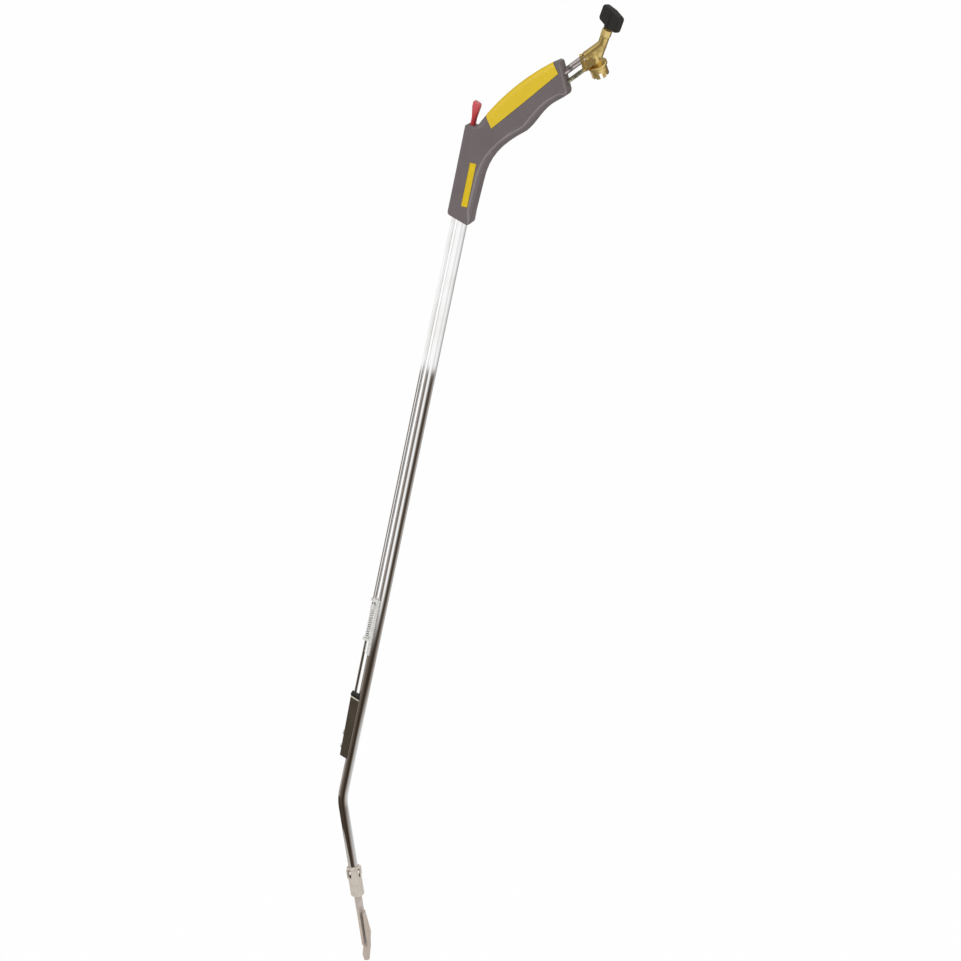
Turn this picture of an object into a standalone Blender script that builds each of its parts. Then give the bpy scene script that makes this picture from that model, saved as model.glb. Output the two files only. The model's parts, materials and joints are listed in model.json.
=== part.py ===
"""Propane torch: pistol handle, lance with a push-rod igniter, burner and cylinder valve.

Lance frame: X = 0 and Y = 0 on the lance axis, Z = 0 at the lip of the handle.  The parting plane of the
handle is Y = 0, the igniter runs on the -X side, the grip and the valve lie on the +X side.
All lengths are metres.
"""
import math
from collections import namedtuple

import bmesh
import bpy
from mathutils import Matrix, Vector

for old in list(bpy.data.objects):
    bpy.data.objects.remove(old, do_unlink=True)

# General
CLEAR = 0.0003
MERGE = 1e-7
SIDES = 24
FINE_SIDES = 14
NECK_SIDES = 18
PASSAGE_SIDES = 16
COLLAR_SIDES = 28
CASTLE_SIDES = 32
WIRE_SIDES = 12
LEAD_SIDES = 8
HEX = 6
ROUNDING = tuple(math.radians(22.5 * i) for i in range(5))
SHARP = math.radians(35.0)
REACH = 0.004
OVERLAP = 0.0005

# Lance
TUBE_OD = 0.0100
TUBE_WALL = 0.0008
TUBE_GAP = 0.0040
LANCE_DROP = 0.6090
LEG_ANGLE = math.radians(20.0)
LEG_LENGTH = 0.0750
LEG_GRIP = 0.0050
BEND_RADIUS = 0.0280
BEND_STEPS = 6
GAS_PIPE_OD = 0.0034
GAS_PIPE_BORE = 0.0020
LEAD_OD = 0.0018
LEAD_INSET = 0.00455
LEAD_SLOPE = 1.5

# Handle
HANDLE_FRONT = 0.0140
HANDLE_BACK = 0.0092
HANDLE_WAIST_BACK = 0.0107
HANDLE_THICK = 0.0270
HANDLE_WALL = 0.0026
LIP_RISE = 0.0070
SHOULDER_HEIGHT = 0.0928
SHOULDER_FALL = 0.0012
NOTCH_SETBACK = 0.0100
THROAT_DROP = 0.0508
THROAT_UPPER = (0.0200, 0.0128)
THROAT_LOWER = (0.0107, 0.0268)
GRIP_ANGLE = math.radians(51.3)
GRIP_LENGTH = 0.1010
GRIP_CROWN = 0.0062
GRIP_END_LEAN = 0.0131
GRIP_END_DEPTH = 0.0295
GRIP_WAIST_TO_END = 0.0370
GRIP_WAIST_DEPTH = 0.0266
GRIP_SWELL_AT = 0.0330
GRIP_SWELL_DEPTH = 0.0312
HARD_EDGE = 0.0022
SOFT_EDGE = 0.0055
EDGE_SLOPE = 1.0
BAND_PROFILE = ((0.0, 0.0), (0.08, 0.34), (0.22, 0.56), (0.82, 0.93), (1.0, 1.0))
LIP_CORNER = 0.0035
HEEL_CORNER = 0.0030
SHOULDER_CORNER = 0.0015
CREST_CORNER = 0.0030
TAIL_CORNER = 0.0045
CROWN_STATIONS = (0.05, 0.10, 0.20, 0.32, 0.44, 0.56, 0.68, 0.80, 0.88, 0.935, 0.965)
UNDER_STEPS = 12
THROAT_STEPS = 8
RIB = 0.0025
RIB_FIRST = 0.0140
RIB_LAST_DROP = 0.0040
GRIP_RIB_FIRST = 0.0420
GRIP_RIB_TO_END = 0.0230
BOSS_OD = 0.0064
BOSS_IN_SWELL = (0.0300, 0.0215)
BOSS_IN_WAIST = 0.0195
BOSS_IN_THROAT = (0.0125, 0.0208)
INLAY_DEPTH = 0.0012
INLAY_PROUD = 0.0002
INLAY_FROM = 0.0120
INLAY_TO_END = 0.0068
INLAY_EDGE = 0.0100
INLAY_SLANT = 0.0056
INLAY_STEPS = 14
LABEL_WIDTH = 0.0058
LABEL_HEIGHT = 0.0415
LABEL_CENTRE = (0.0009, 0.0385)
LABEL_THICK = 0.0007

# Shell screws
SCREW_OD = 0.0025
SCREW_HEAD_OD = 0.0044
SCREW_HEAD = 0.0018
SCREW_SUNK = 0.0010

# Igniter linkage
ROD_OFFSET = 0.0090
ROD_OD = 0.0040
THIN_ROD_OD = 0.0028
STROKE = 0.0060
BUTTON_RISE = 0.0209
BUTTON_RAKE = 0.0018
BUTTON_STEM = (0.0046, 0.0080)
BUTTON_HEAD = (0.0072, 0.0115)
BUTTON_CORNER = 0.0020
BUTTON_DOME = (0.75, 0.85)
BUTTON_FOOT_WIDTH = 0.0120
BUTTON_FOOT = 0.0055
BRACKET_RISE = 0.0458
BRACKET_LENGTH = 0.0585
BRACKET_SHEET = 0.0009
BRACKET_WRAP = math.radians(66.0)
BRACKET_STEPS = 12
EAR = 0.0016
EAR_REACH = 0.0125
EAR_WIDTH = 0.0090
EAR_LAP = 0.00135
LOWER_EAR_DROP = 0.0425
ROD_COLLAR_OD = 0.0050
ROD_COLLAR = 0.0060
ROD_COLLAR_DROP = 0.0055
SPRING_WIRE = 0.0008
SPRING_OD = 0.0050
SPRING_CURLS = 13
SPRING_STEPS = 10

# Igniter housing
HOUSING_RISE = 0.0477
HOUSING_HEIGHT = 0.0685
HOUSING_LEFT = -0.0124
HOUSING_TAPER = 0.0012
HOUSING_WIDTH = 0.0082
HOUSING_WALL = 0.0013
HOUSING_CORNER = 0.0012
HOUSING_RAKE = math.radians(18.0)
SADDLE_STEPS = 8
LID_THICK = 0.0022
GASKET_THICK = 0.0016
CAVITY_DEPTH = 0.0380
PIEZO_HEIGHT = 0.0265
PLUNGER_OD = 0.0028
PLUNGER_LENGTH = 0.0140
HOUSING_SCREW_RISES = (0.0243, 0.0093)
HOUSING_SCREW_HEAD_OD = 0.0046
HOUSING_SCREW_HEAD = 0.0012
SCREW_SLOT = 0.0007
LEAD_ENTRY_DROP = 0.0297

# Burner
COLLAR_OD = 0.0140
COLLAR_LENGTH = 0.0330
COLLAR_CHAMBER = 0.0116
COLLAR_NOSE = 0.0030
NOSE_TURNS = tuple(math.radians(25.0 * i) for i in range(4))
AIR_SLOT_WIDTH = 0.0036
AIR_SLOT_FROM = 0.0020
AIR_SLOT_TO = 0.0110
AIR_SLOT_TURNS = (-62.0, 30.0, 120.0, 208.0)
AIR_LIP = 0.0011
BURNER_OD = 0.0080
BURNER_BORE = 0.0066
BURNER_GRIP = 0.0080
BURNER_REACH = 0.0880
JET_LENGTH = 0.0080
JET_ORIFICE = 0.0008
HOLDER_SETBACK = 0.0120
HOLDER_THICK = 0.0020
PORT_OD = 0.0009
PORT_RING = 0.0019
PORT_TURNS = (-100.0, -50.0, 0.0, 50.0, 100.0)
ELECTRODE_OD = 0.0010
INSULATOR_OD = 0.0024
ELECTRODE_OFFSET = 0.0017
ELECTRODE_TIP = 0.0060
ELECTRODE_HOOK = 0.0004
SHROUD_SHEET = 0.0007
SHROUD_STATIONS = (
    (0.0510, 0.0051, 0.0000, 58.0),
    (0.0630, 0.0058, 0.0006, 66.0),
    (0.0740, 0.0062, 0.0014, 76.0),
    (0.0830, 0.0058, 0.0002, 92.0),
    (0.0900, 0.0056, -0.0004, 105.0),
    (0.0970, 0.0049, -0.0015, 118.0),
    (0.1050, 0.0030, -0.0014, 140.0),
)
SHROUD_STEPS = 14

# Neck
NECK_ANGLE = math.radians(48.15)
NECK_OD = 0.0066
NECK_BORE = 0.0046
NECK_CORNER_DROP = 0.0062
NECK_BEND = 0.0250
NECK_STEPS = 7
NECK_LENGTH = 0.1392
STAY_OD = 0.0040
STAY_DROP = 0.0087
STAY_GRIP = 0.0250
STAY_SETBACK = 0.0210
PLATE_SETBACK = 0.0222
PLATE_TILT = math.radians(20.0)
PLATE_THICK = 0.0030
PLATE_ABOVE = 0.0048
PLATE_BELOW = 0.0116
PLATE_WIDTH = 0.0092
COUPLING_OD = 0.0110
COUPLING_DROP = 0.0168
COUPLING_LENGTH = 0.0160
COUPLING_GRIP = 0.0065

# Valve
VALVE_ROLL = math.radians(30.0)
STEM_ANGLE = math.radians(36.0)
INLET_ANGLE = math.radians(107.0)
INLET_SETBACK = 0.0111
BOSS_BACK = 0.0184
BOSS_AHEAD = 0.0018
VALVE_BOSS_OD = 0.0092
NECK_SOCKET = 0.0091
BRANCH_OD = 0.0100
FLANGE_OD = 0.0197
FLANGE_THICK = 0.0030
FLANGE_AT = 0.0124
SPIGOT_OD = 0.0106
SPIGOT_LENGTH = 0.0025
INLET_BORE = 0.0038
INLET_DEPTH = 0.0110
GAS_PASSAGE = 0.0024
STEM_HOUSING_OD = 0.0088
STEM_HOUSING_BACK = 0.0110
STEM_HOUSING_AHEAD = 0.0092
STEM_OD = 0.0040
NEEDLE_OD = 0.0028
NEEDLE_TIP = 0.0006
NEEDLE_TAPER = 0.0020
SEAT_AT = 0.0030
SEAT_OD = 0.0016
SEAT_BORE_END = 0.0167
PACKING_OD = 0.0066
PACKING_DEPTH = 0.0045
PACKING = 0.0017
NUT_ACROSS = 0.0088
NUT_HEIGHT = 0.0065
NUT_CHAMFER = 0.0008
KNOB_WIDTH = 0.0274
KNOB_HEIGHT = 0.0175
KNOB_THICK = 0.0068
KNOB_CENTRE = 0.0270
KNOB_CROWN = 0.0012
KNOB_CORNER = 0.0026
KNOB_EDGE = 0.0014
KNOB_HUB_OD = 0.0088
KNOB_REST = math.radians(-66.0)
CYL_COLLAR_OD = 0.0165
CYL_COLLAR_LENGTH = 0.0098
CASTLE_SLOTS = 8
CASTLE_SLOT_WIDTH = 0.0026
CASTLE_SLOT_DEPTH = 0.0058
SEAL_OD = 0.0104
SEAL_BORE = 0.0050
SEAL_THICK = 0.0015
PIN_OD = 0.0032
PIN_PROUD = 0.0010

# Finishes: colour, roughness, metallic, and the first words of the pieces that have them
FINISHES = {
    "grey_plastic": ((0.16, 0.145, 0.155), 0.45, 0.0, ("handle_shell",)),
    "yellow_rubber": ((0.78, 0.58, 0.01), 0.50, 0.0, ("grip_inlay", "label_plate")),
    "red_plastic": ((0.70, 0.03, 0.04), 0.35, 0.0, ("igniter_button",)),
    "chrome": ((0.80, 0.80, 0.80), 0.10, 1.0, ("lance_tube", "push_rod", "neck_pipe", "stay_rod")),
    "zinc_steel": ((0.62, 0.62, 0.63), 0.35, 1.0, (
        "guide_bracket", "return_spring", "rod_collar", "spark_electrode", "housing_screw", "handle_screw",
        "gas_pipe", "flame_")),
    "burner_steel": ((0.66, 0.63, 0.58), 0.55, 1.0, ("burner_",)),
    "brown_plastic": ((0.055, 0.048, 0.044), 0.45, 0.0, ("igniter_housing",)),
    "black_plastic": ((0.02, 0.02, 0.02), 0.40, 0.0, (
        "housing_lid", "valve_knob", "ignition_lead", "piezo_unit")),
    "cream_rubber": ((0.72, 0.68, 0.58), 0.60, 0.0, (
        "lid_gasket", "stem_seal", "inlet_seal")),
    "cream_ceramic": ((0.80, 0.77, 0.70), 0.35, 0.0, ("piezo_plunger", "electrode_insulator")),
    "brass": ((0.70, 0.52, 0.22), 0.30, 1.0, (
        "valve_body", "valve_stem", "gland_nut", "cylinder_collar", "neck_plate", "inlet_pin", "gas_jet",
        "gas_coupling")),
}

# Places that follow from the sizes above
TUBE_R = TUBE_OD / 2
COUPLING_TOP = SHOULDER_HEIGHT - COUPLING_DROP
COUPLING_LOW = COUPLING_TOP - COUPLING_LENGTH
TUBE_TOP = COUPLING_LOW - TUBE_GAP
RIB_LAST = TUBE_TOP - RIB_LAST_DROP
RIB_HEIGHTS = (RIB_FIRST, (RIB_FIRST + RIB_LAST) / 2, RIB_LAST)
GRIP_WAIST_AT = GRIP_LENGTH - GRIP_WAIST_TO_END
GRIP_RIBS = (GRIP_RIB_FIRST, GRIP_LENGTH - GRIP_RIB_TO_END)
INLAY_TO = GRIP_LENGTH - INLAY_TO_END
BUTTON_TOP = SHOULDER_HEIGHT + BUTTON_RISE
HOUSING_BOTTOM = HOUSING_RISE - LANCE_DROP
HOUSING_TOP = HOUSING_BOTTOM + HOUSING_HEIGHT
HOUSING_SCREWS = tuple(HOUSING_BOTTOM + rise for rise in HOUSING_SCREW_RISES)
LEAD_ENTRY = HOUSING_TOP - LEAD_ENTRY_DROP
BRACKET_BOTTOM = HOUSING_TOP + BRACKET_RISE
BRACKET_TOP = BRACKET_BOTTOM + BRACKET_LENGTH
LOWER_EAR_TOP = BRACKET_TOP - LOWER_EAR_DROP
ROD_COLLAR_TOP = BRACKET_TOP - ROD_COLLAR_DROP
BURNER_END = LEG_LENGTH + BURNER_REACH
STAY_FROM = GRIP_LENGTH - STAY_GRIP
STAY_TO = NECK_LENGTH - STAY_SETBACK
PART = CLEAR / 2
HALF = HANDLE_THICK / 2
RECESS = INLAY_DEPTH + CLEAR
NOTCH = Vector((NOTCH_SETBACK - HANDLE_FRONT, SHOULDER_HEIGHT - SHOULDER_FALL))
CHORD = Vector((math.cos(GRIP_ANGLE), math.sin(GRIP_ANGLE)))
DEPTH = Vector((math.sin(GRIP_ANGLE), -math.cos(GRIP_ANGLE)))
NECK = Vector((math.cos(NECK_ANGLE), 0.0, math.sin(NECK_ANGLE)))
NECK_UP = Vector((-math.sin(NECK_ANGLE), 0.0, math.cos(NECK_ANGLE)))
NECK_START = Vector((0.0, 0.0, SHOULDER_HEIGHT - NECK_CORNER_DROP))
VALVE_POINT = NECK_START + NECK * NECK_LENGTH
LEG = Vector((math.sin(LEG_ANGLE), 0.0, -math.cos(LEG_ANGLE)))
LEG_SIDE = Vector((math.cos(LEG_ANGLE), 0.0, math.sin(LEG_ANGLE)))
BEND_POINT = Vector((0.0, 0.0, -LANCE_DROP))

Rim = namedtuple("Rim", "point edge wall corner band")


def grip_point(along, below):
    """Point of the handle's XZ plane from the distance along the grip chord and the depth below it."""
    return NOTCH + CHORD * along + DEPTH * below


GRIP_CENTRE = grip_point(GRIP_LENGTH / 2, GRIP_WAIST_DEPTH / 2)


def axes_matrix(x_axis, y_axis, z_axis, origin):
    """Matrix of a frame from its three axes and its origin."""
    turn = Matrix((x_axis, y_axis, z_axis)).transposed()
    return Matrix.Translation(origin) @ turn.to_4x4()


def frame(name, parent, matrix):
    """Empty that carries the pieces of one sub-assembly."""
    empty = bpy.data.objects.new(name, None)
    bpy.context.collection.objects.link(empty)
    empty.parent = parent
    empty.matrix_local = matrix
    return empty


def finish(name, bm, parent, place):
    """Weld, orient and link a body."""
    bmesh.ops.remove_doubles(bm, verts=bm.verts, dist=MERGE)
    bmesh.ops.transform(bm, matrix=place, verts=bm.verts)
    bmesh.ops.recalc_face_normals(bm, faces=bm.faces)
    mesh = bpy.data.meshes.new(name)
    bm.to_mesh(mesh)
    bm.free()
    mesh.shade_smooth()
    mesh.set_sharp_from_angle(angle=SHARP)
    piece = bpy.data.objects.new(name, mesh)
    bpy.context.collection.objects.link(piece)
    piece.parent = parent
    return piece


def loft(name, rings, parent, ends="cap", place=Matrix()):
    """Skin a row of rings; the ends are capped, or joined to each other in a loop."""
    bm = bmesh.new()
    loops = [[bm.verts.new(point) for point in ring] for ring in rings]
    pairs = list(zip(loops, loops[1:]))
    if ends == "loop":
        pairs.append((loops[-1], loops[0]))
    for first, second in pairs:
        for j in range(len(first)):
            bm.faces.new((first[j - 1], first[j], second[j], second[j - 1]))
    if ends == "cap":
        bm.faces.new(loops[0])
        bm.faces.new(loops[-1])
    return finish(name, bm, parent, place)


def circle(radius, sides, height=0.0):
    """Ring of points about the Z axis."""
    turns = [math.tau * (j + 0.5) / sides for j in range(sides)]
    return [Vector((radius * math.cos(t), radius * math.sin(t), height)) for t in turns]


def turned(name, profile, parent, place=Matrix(), sides=SIDES):
    """Revolve a closed (radius, height) profile about Z; one that starts and ends on the axis is solid."""
    rings = [circle(radius, sides, height) for radius, height in profile if radius > 0.0]
    ends = "loop" if len(rings) == len(profile) else "cap"
    return loft(name, rings, parent, ends, place)


def line_matrix(start, end):
    """Matrix that lays the Z axis on the line from start to end."""
    line = Vector(end) - Vector(start)
    return Matrix.Translation(start) @ line.to_track_quat("Z", "Y").to_matrix().to_4x4()


def bar(name, start, end, diameter, parent, bore=0.0, sides=SIDES):
    """Round bar or tube between two points."""
    length = (Vector(end) - Vector(start)).length
    outer, inner = diameter / 2, bore / 2
    profile = [(inner, 0.0), (outer, 0.0), (outer, length), (inner, length)]
    return turned(name, profile, parent, line_matrix(start, end), sides)


def bent_bar(name, path, diameter, parent, bore=0.0, sides=FINE_SIDES):
    """Round bar or tube along a path of the XZ plane."""
    rings = {diameter: [], bore: []}
    for i, point in enumerate(path):
        run = (path[min(i + 1, len(path) - 1)] - path[max(i - 1, 0)]).normalized()
        side = Vector((run.z, 0.0, -run.x))
        for size, row in rings.items():
            spots = circle(size / 2, sides)
            row.append([point + side * spot.x + Vector((0.0, spot.y, 0.0)) for spot in spots])
    if bore:
        return loft(name, rings[diameter] + rings[bore][::-1], parent, "loop")
    return loft(name, rings[diameter], parent)


def prism(name, outline, low, high, parent, place=Matrix()):
    """Straight body over an XY outline."""
    rings = [[(x, y, level) for x, y in outline] for level in (low, high)]
    return loft(name, rings, parent, "cap", place)


def box(name, low, high, parent, place=Matrix()):
    """Rectangular block between two corners."""
    outline = [(low[0], low[1]), (high[0], low[1]), (high[0], high[1]), (low[0], high[1])]
    return prism(name, outline, low[2], high[2], parent, place)


def combine(piece, tool, operation):
    """Cut, keep or add a tool body on a piece and hide the tool."""
    step = piece.modifiers.new(tool.name, "BOOLEAN")
    step.operation = operation
    step.solver = "EXACT"
    step.object = tool
    tool.hide_render = True
    tool.display_type = "WIRE"


def cut(piece, *tools):
    """Cut tool bodies out of a piece."""
    for tool in tools:
        combine(piece, tool, "DIFFERENCE")


def add(piece, *tools):
    """Add tool bodies to a piece."""
    for tool in tools:
        combine(piece, tool, "UNION")


def corner_arc(before, corner, after, radius, steps=3):
    """Points that round an outline corner, each with the centre, radius and mitre of its arc."""
    back = (before - corner).normalized()
    ahead = (after - corner).normalized()
    half = back.angle(ahead) / 2
    mitre = (back + ahead).normalized() / math.sin(half)
    centre = corner + mitre * radius
    first = corner + back * (radius / math.tan(half)) - centre
    last = corner + ahead * (radius / math.tan(half)) - centre
    spokes = [first.lerp(last, i / steps).normalized() * radius for i in range(steps + 1)]
    return [(centre + spoke, (centre, radius, mitre)) for spoke in spokes]


def rounded_outline(corners, radius, steps=4):
    """XY outline with every corner rounded."""
    points = [Vector(corner) for corner in corners]
    outline = []
    for i, corner in enumerate(points):
        after = points[(i + 1) % len(points)]
        outline += [tuple(spot) for spot, _ in corner_arc(points[i - 1], corner, after, radius, steps)]
    return outline


def crown_height(along):
    """Height of the grip's top arc above its chord."""
    radius = (GRIP_LENGTH ** 2 / 4 + GRIP_CROWN ** 2) / (2 * GRIP_CROWN)
    return math.sqrt(radius ** 2 - (along - GRIP_LENGTH / 2) ** 2) - (radius - GRIP_CROWN)


def crown_normal(along):
    """Direction into the handle from the grip's top arc."""
    radius = (GRIP_LENGTH ** 2 / 4 + GRIP_CROWN ** 2) / (2 * GRIP_CROWN)
    hub = grip_point(GRIP_LENGTH / 2, radius - GRIP_CROWN)
    return (hub - grip_point(along, -crown_height(along))).normalized()


def underside(along):
    """Depth of the grip's underside below the chord."""
    if along > GRIP_WAIST_AT:
        end = GRIP_LENGTH - GRIP_END_LEAN
        share = (along - GRIP_WAIST_AT) / (end - GRIP_WAIST_AT)
        rise = GRIP_END_DEPTH - GRIP_WAIST_DEPTH
    else:
        share = (GRIP_WAIST_AT - along) / (GRIP_WAIST_AT - GRIP_SWELL_AT)
        rise = GRIP_SWELL_DEPTH - GRIP_WAIST_DEPTH
    return GRIP_WAIST_DEPTH + rise * (1 - math.cos(math.pi * share)) / 2


def between(start, end, count):
    """Evenly spaced points strictly between two points."""
    return [start.lerp(end, (i + 1) / (count + 1)) for i in range(count)]


def handle_outline():
    """Side outline of the handle, clockwise from the front of the lip."""
    front_lip = Vector((-HANDLE_FRONT, LIP_RISE))
    shoulder = Vector((-HANDLE_FRONT, SHOULDER_HEIGHT))
    crest = grip_point(GRIP_LENGTH, 0.0)
    tail = grip_point(GRIP_LENGTH - GRIP_END_LEAN, GRIP_END_DEPTH)
    swell = grip_point(GRIP_SWELL_AT, GRIP_SWELL_DEPTH)
    throat = Vector((HANDLE_WAIST_BACK, SHOULDER_HEIGHT - THROAT_DROP))
    heel = Vector((HANDLE_BACK, 0.0))
    top = [grip_point(s, -crown_height(s)) for s in (GRIP_LENGTH * share for share in CROWN_STATIONS)]
    run = GRIP_LENGTH - GRIP_END_LEAN - GRIP_SWELL_AT
    stations = [GRIP_SWELL_AT + run * i / UNDER_STEPS for i in range(UNDER_STEPS - 1, 0, -1)]
    under = [grip_point(s, underside(s)) for s in stations]
    bends = [Vector((x, SHOULDER_HEIGHT - drop)) for x, drop in (THROAT_UPPER, THROAT_LOWER)]
    pull = [swell] + bends + [throat]
    curve = []
    for i in range(1, THROAT_STEPS):
        t = i / THROAT_STEPS
        blend = ((1 - t) ** 3, 3 * t * (1 - t) ** 2, 3 * t ** 2 * (1 - t), t ** 3)
        curve.append(sum((p * b for p, b in zip(pull, blend)), Vector((0.0, 0.0))))
    thin = HANDLE_WALL
    deep = HANDLE_WALL + RECESS
    rims = []

    def plain(points, edge, wall, band=0.0):
        rims.extend(Rim(point, edge, wall, None, band) for point in points)

    def corner(before, point, after, radius, edge):
        arc = corner_arc(before, point, after, radius)
        rims.extend(Rim(spot, edge, thin, bend, 0.0) for spot, bend in arc)

    corner(heel, front_lip, shoulder, LIP_CORNER, HARD_EDGE)
    plain(between(front_lip, shoulder, 1), HARD_EDGE, thin)
    corner(front_lip, shoulder, NOTCH, SHOULDER_CORNER, SHOULDER_CORNER)
    plain([NOTCH], SHOULDER_CORNER, thin)
    plain(top, SOFT_EDGE, deep)
    corner(top[-1], crest, tail, CREST_CORNER, HARD_EDGE)
    plain(between(crest, tail, 1), HARD_EDGE, thin)
    corner(crest, tail, under[1], TAIL_CORNER, HARD_EDGE)
    plain(under[1:] + [swell] + curve + [throat], SOFT_EDGE, thin, 1.0)
    plain(between(throat, heel, 2), SOFT_EDGE, thin, 1.0)
    corner(throat, heel, front_lip, HEEL_CORNER, HARD_EDGE)
    return ease_edges(rims)


def ease_edges(rims):
    """Let the edge radius change only gently along the outline."""
    count = len(rims)
    for step in (1, -1):
        for turn in range(2 * count):
            i = turn * step % count
            before = rims[(i - step) % count]
            room = before.edge + EDGE_SLOPE * (rims[i].point - before.point).length
            rims[i] = rims[i]._replace(edge=min(rims[i].edge, room))
    return rims


def inset(rims, i, depth):
    """Outline point moved into the handle."""
    rim = rims[i]
    if rim.corner and depth > rim.corner[1]:
        centre, radius, mitre = rim.corner
        return centre + mitre * (depth - radius)
    if rim.corner:
        return rim.point + (rim.corner[0] - rim.point).normalized() * depth
    run = (rims[(i + 1) % len(rims)].point - rims[i - 1].point).normalized()
    return rim.point + Vector((run.y, -run.x)) * depth


def half_shell(name, side, rims, parent):
    """One moulded half of the handle as a closed shell: its rim is rounded, or slanted along the back."""
    def ring(level):
        spots = []
        for i, rim in enumerate(rims):
            depth, out = level(rim)
            spot = inset(rims, i, depth)
            spots.append((spot.x, side * out, spot.y))
        return spots

    def rounding(angle, slant):
        def level(rim):
            tuck = (1 - math.cos(angle)) * (1 - rim.band) + slant[0] * rim.band
            rise = math.sin(angle) * (1 - rim.band) + slant[1] * rim.band
            return rim.edge * tuck, HALF - rim.edge * (1 - rise)
        return level

    rings = [ring(lambda rim: (rim.wall, HALF - HANDLE_WALL)), ring(lambda rim: (rim.wall, PART))]
    rings.append(ring(lambda rim: (0.0, PART)))
    rings += [ring(rounding(angle, slant)) for angle, slant in zip(ROUNDING, BAND_PROFILE)]
    return loft(name, rings, parent)


def grip_saddle(name, side, lift, depth, grow, parent):
    """Band over the top and side of one grip half, slanted in front, from lift above to depth below it."""
    rings = []
    start, end = INLAY_FROM - grow, INLAY_TO + grow
    for i in range(INLAY_STEPS + 1):
        along = start + (end - start) * i / INLAY_STEPS
        lean = INLAY_SLANT / 2 * (1 - i / INLAY_STEPS)
        low = INLAY_EDGE + crown_height(along - lean) + grow
        parting = PART if grow == 0.0 else 0.0
        outer = [(-lift, parting)]
        inner = [(depth, parting)]
        for angle in ROUNDING:
            for row, radius in ((outer, SOFT_EDGE + lift), (inner, SOFT_EDGE - depth)):
                down, out = SOFT_EDGE - radius * math.cos(angle), SOFT_EDGE - radius * math.sin(angle)
                row.append((down, HALF - out))
        outer.append((low, HALF + lift))
        inner.append((low, HALF - depth))
        loop = []
        for down, out in outer + inner[::-1]:
            place = along + lean * (1 - 2 * max(down, 0.0) / low)
            spot = grip_point(place, -crown_height(place)) + crown_normal(place) * down
            loop.append((spot.x, side * out, spot.y))
        rings.append(loop)
    return loft(name, rings, parent)


def slab(name, along, side, parent):
    """Rib across one grip half at a distance along the chord."""
    top = -crown_height(along) + HANDLE_WALL + RECESS - OVERLAP
    low = underside(along) - HANDLE_WALL + OVERLAP
    first, last = along - RIB / 2, along + RIB / 2
    spots = [grip_point(*corner) for corner in ((first, top), (last, top), (last, low), (first, low))]
    rings = [[(p.x, side * out, p.y) for p in spots] for out in (PART, HALF - HANDLE_WALL + OVERLAP)]
    return loft(name, rings, parent)


def screw_centres():
    """Positions of the shell screws in the handle's XZ plane."""
    throat = Vector((BOSS_IN_THROAT[0], SHOULDER_HEIGHT - BOSS_IN_THROAT[1]))
    return [grip_point(*BOSS_IN_SWELL), grip_point(GRIP_WAIST_AT, BOSS_IN_WAIST), throat]


def build_handle(lance):
    """Two shells with ribs and bosses, their screws, the inlays and the label plate."""
    rims = handle_outline()
    neck_bore = bar("neck_bore", NECK_START + NECK * (NECK_LENGTH / 5), NECK_START + NECK * NECK_LENGTH,
                    NECK_OD + 2 * CLEAR, lance)
    stay_line = NECK_START - NECK_UP * STAY_DROP
    stay_bore = bar("stay_bore", stay_line + NECK * (STAY_FROM - CLEAR), stay_line + NECK * STAY_TO,
                    STAY_OD + 2 * CLEAR, lance)
    tube_bore = bar("tube_bore", (0.0, 0.0, -REACH), (0.0, 0.0, TUBE_TOP + CLEAR),
                    TUBE_OD + 2 * CLEAR, lance)
    rod_bore = bar("rod_bore", (-ROD_OFFSET, 0.0, -REACH), (-ROD_OFFSET, 0.0, TUBE_TOP + CLEAR),
                   ROD_OD + 2 * CLEAR, lance)
    half_x, half_y = BUTTON_STEM[0] / 2 + CLEAR, BUTTON_STEM[1] / 2 + CLEAR
    slot = box("button_slot", (-ROD_OFFSET - half_x, -half_y, SHOULDER_HEIGHT - 2 * HANDLE_WALL),
               (-ROD_OFFSET + half_x, half_y, SHOULDER_HEIGHT + REACH), lance)
    for name, side in (("near", -1), ("far", 1)):
        shell = half_shell("handle_shell_" + name, side, rims, lance)
        for i, level in enumerate(RIB_HEIGHTS):
            outs = sorted((side * PART, side * (HALF - HANDLE_WALL + OVERLAP)))
            low = (-HANDLE_FRONT + HANDLE_WALL - OVERLAP, outs[0], level - RIB / 2)
            high = (HANDLE_BACK - HANDLE_WALL + OVERLAP, outs[1], level + RIB / 2)
            add(shell, box(f"tube_rib_{name}_{i}", low, high, lance))
        for i, along in enumerate(GRIP_RIBS):
            add(shell, slab(f"grip_rib_{name}_{i}", along, side, lance))
        for i, spot in enumerate(screw_centres()):
            add(shell, bar(f"boss_{name}_{i}", (spot.x, side * PART, spot.y),
                           (spot.x, side * (HALF - HANDLE_WALL + OVERLAP), spot.y), BOSS_OD, lance, 0.0,
                           FINE_SIDES))
        cut(shell, neck_bore, stay_bore, tube_bore, rod_bore, slot)
        cut(shell, grip_saddle("inlay_recess_" + name, side, OVERLAP * 2, RECESS, CLEAR, lance))
        grip_saddle("grip_inlay_" + name, side, INLAY_PROUD, INLAY_DEPTH, 0.0, lance)
        if side < 0:
            label_field(shell, lance)
        for i, spot in enumerate(screw_centres()):
            cut(shell, screw_hole(f"screw_hole_{name}_{i}", side, spot, lance))
    for i, spot in enumerate(screw_centres()):
        shell_screw(f"handle_screw_{i + 1}", spot, lance)


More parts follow.
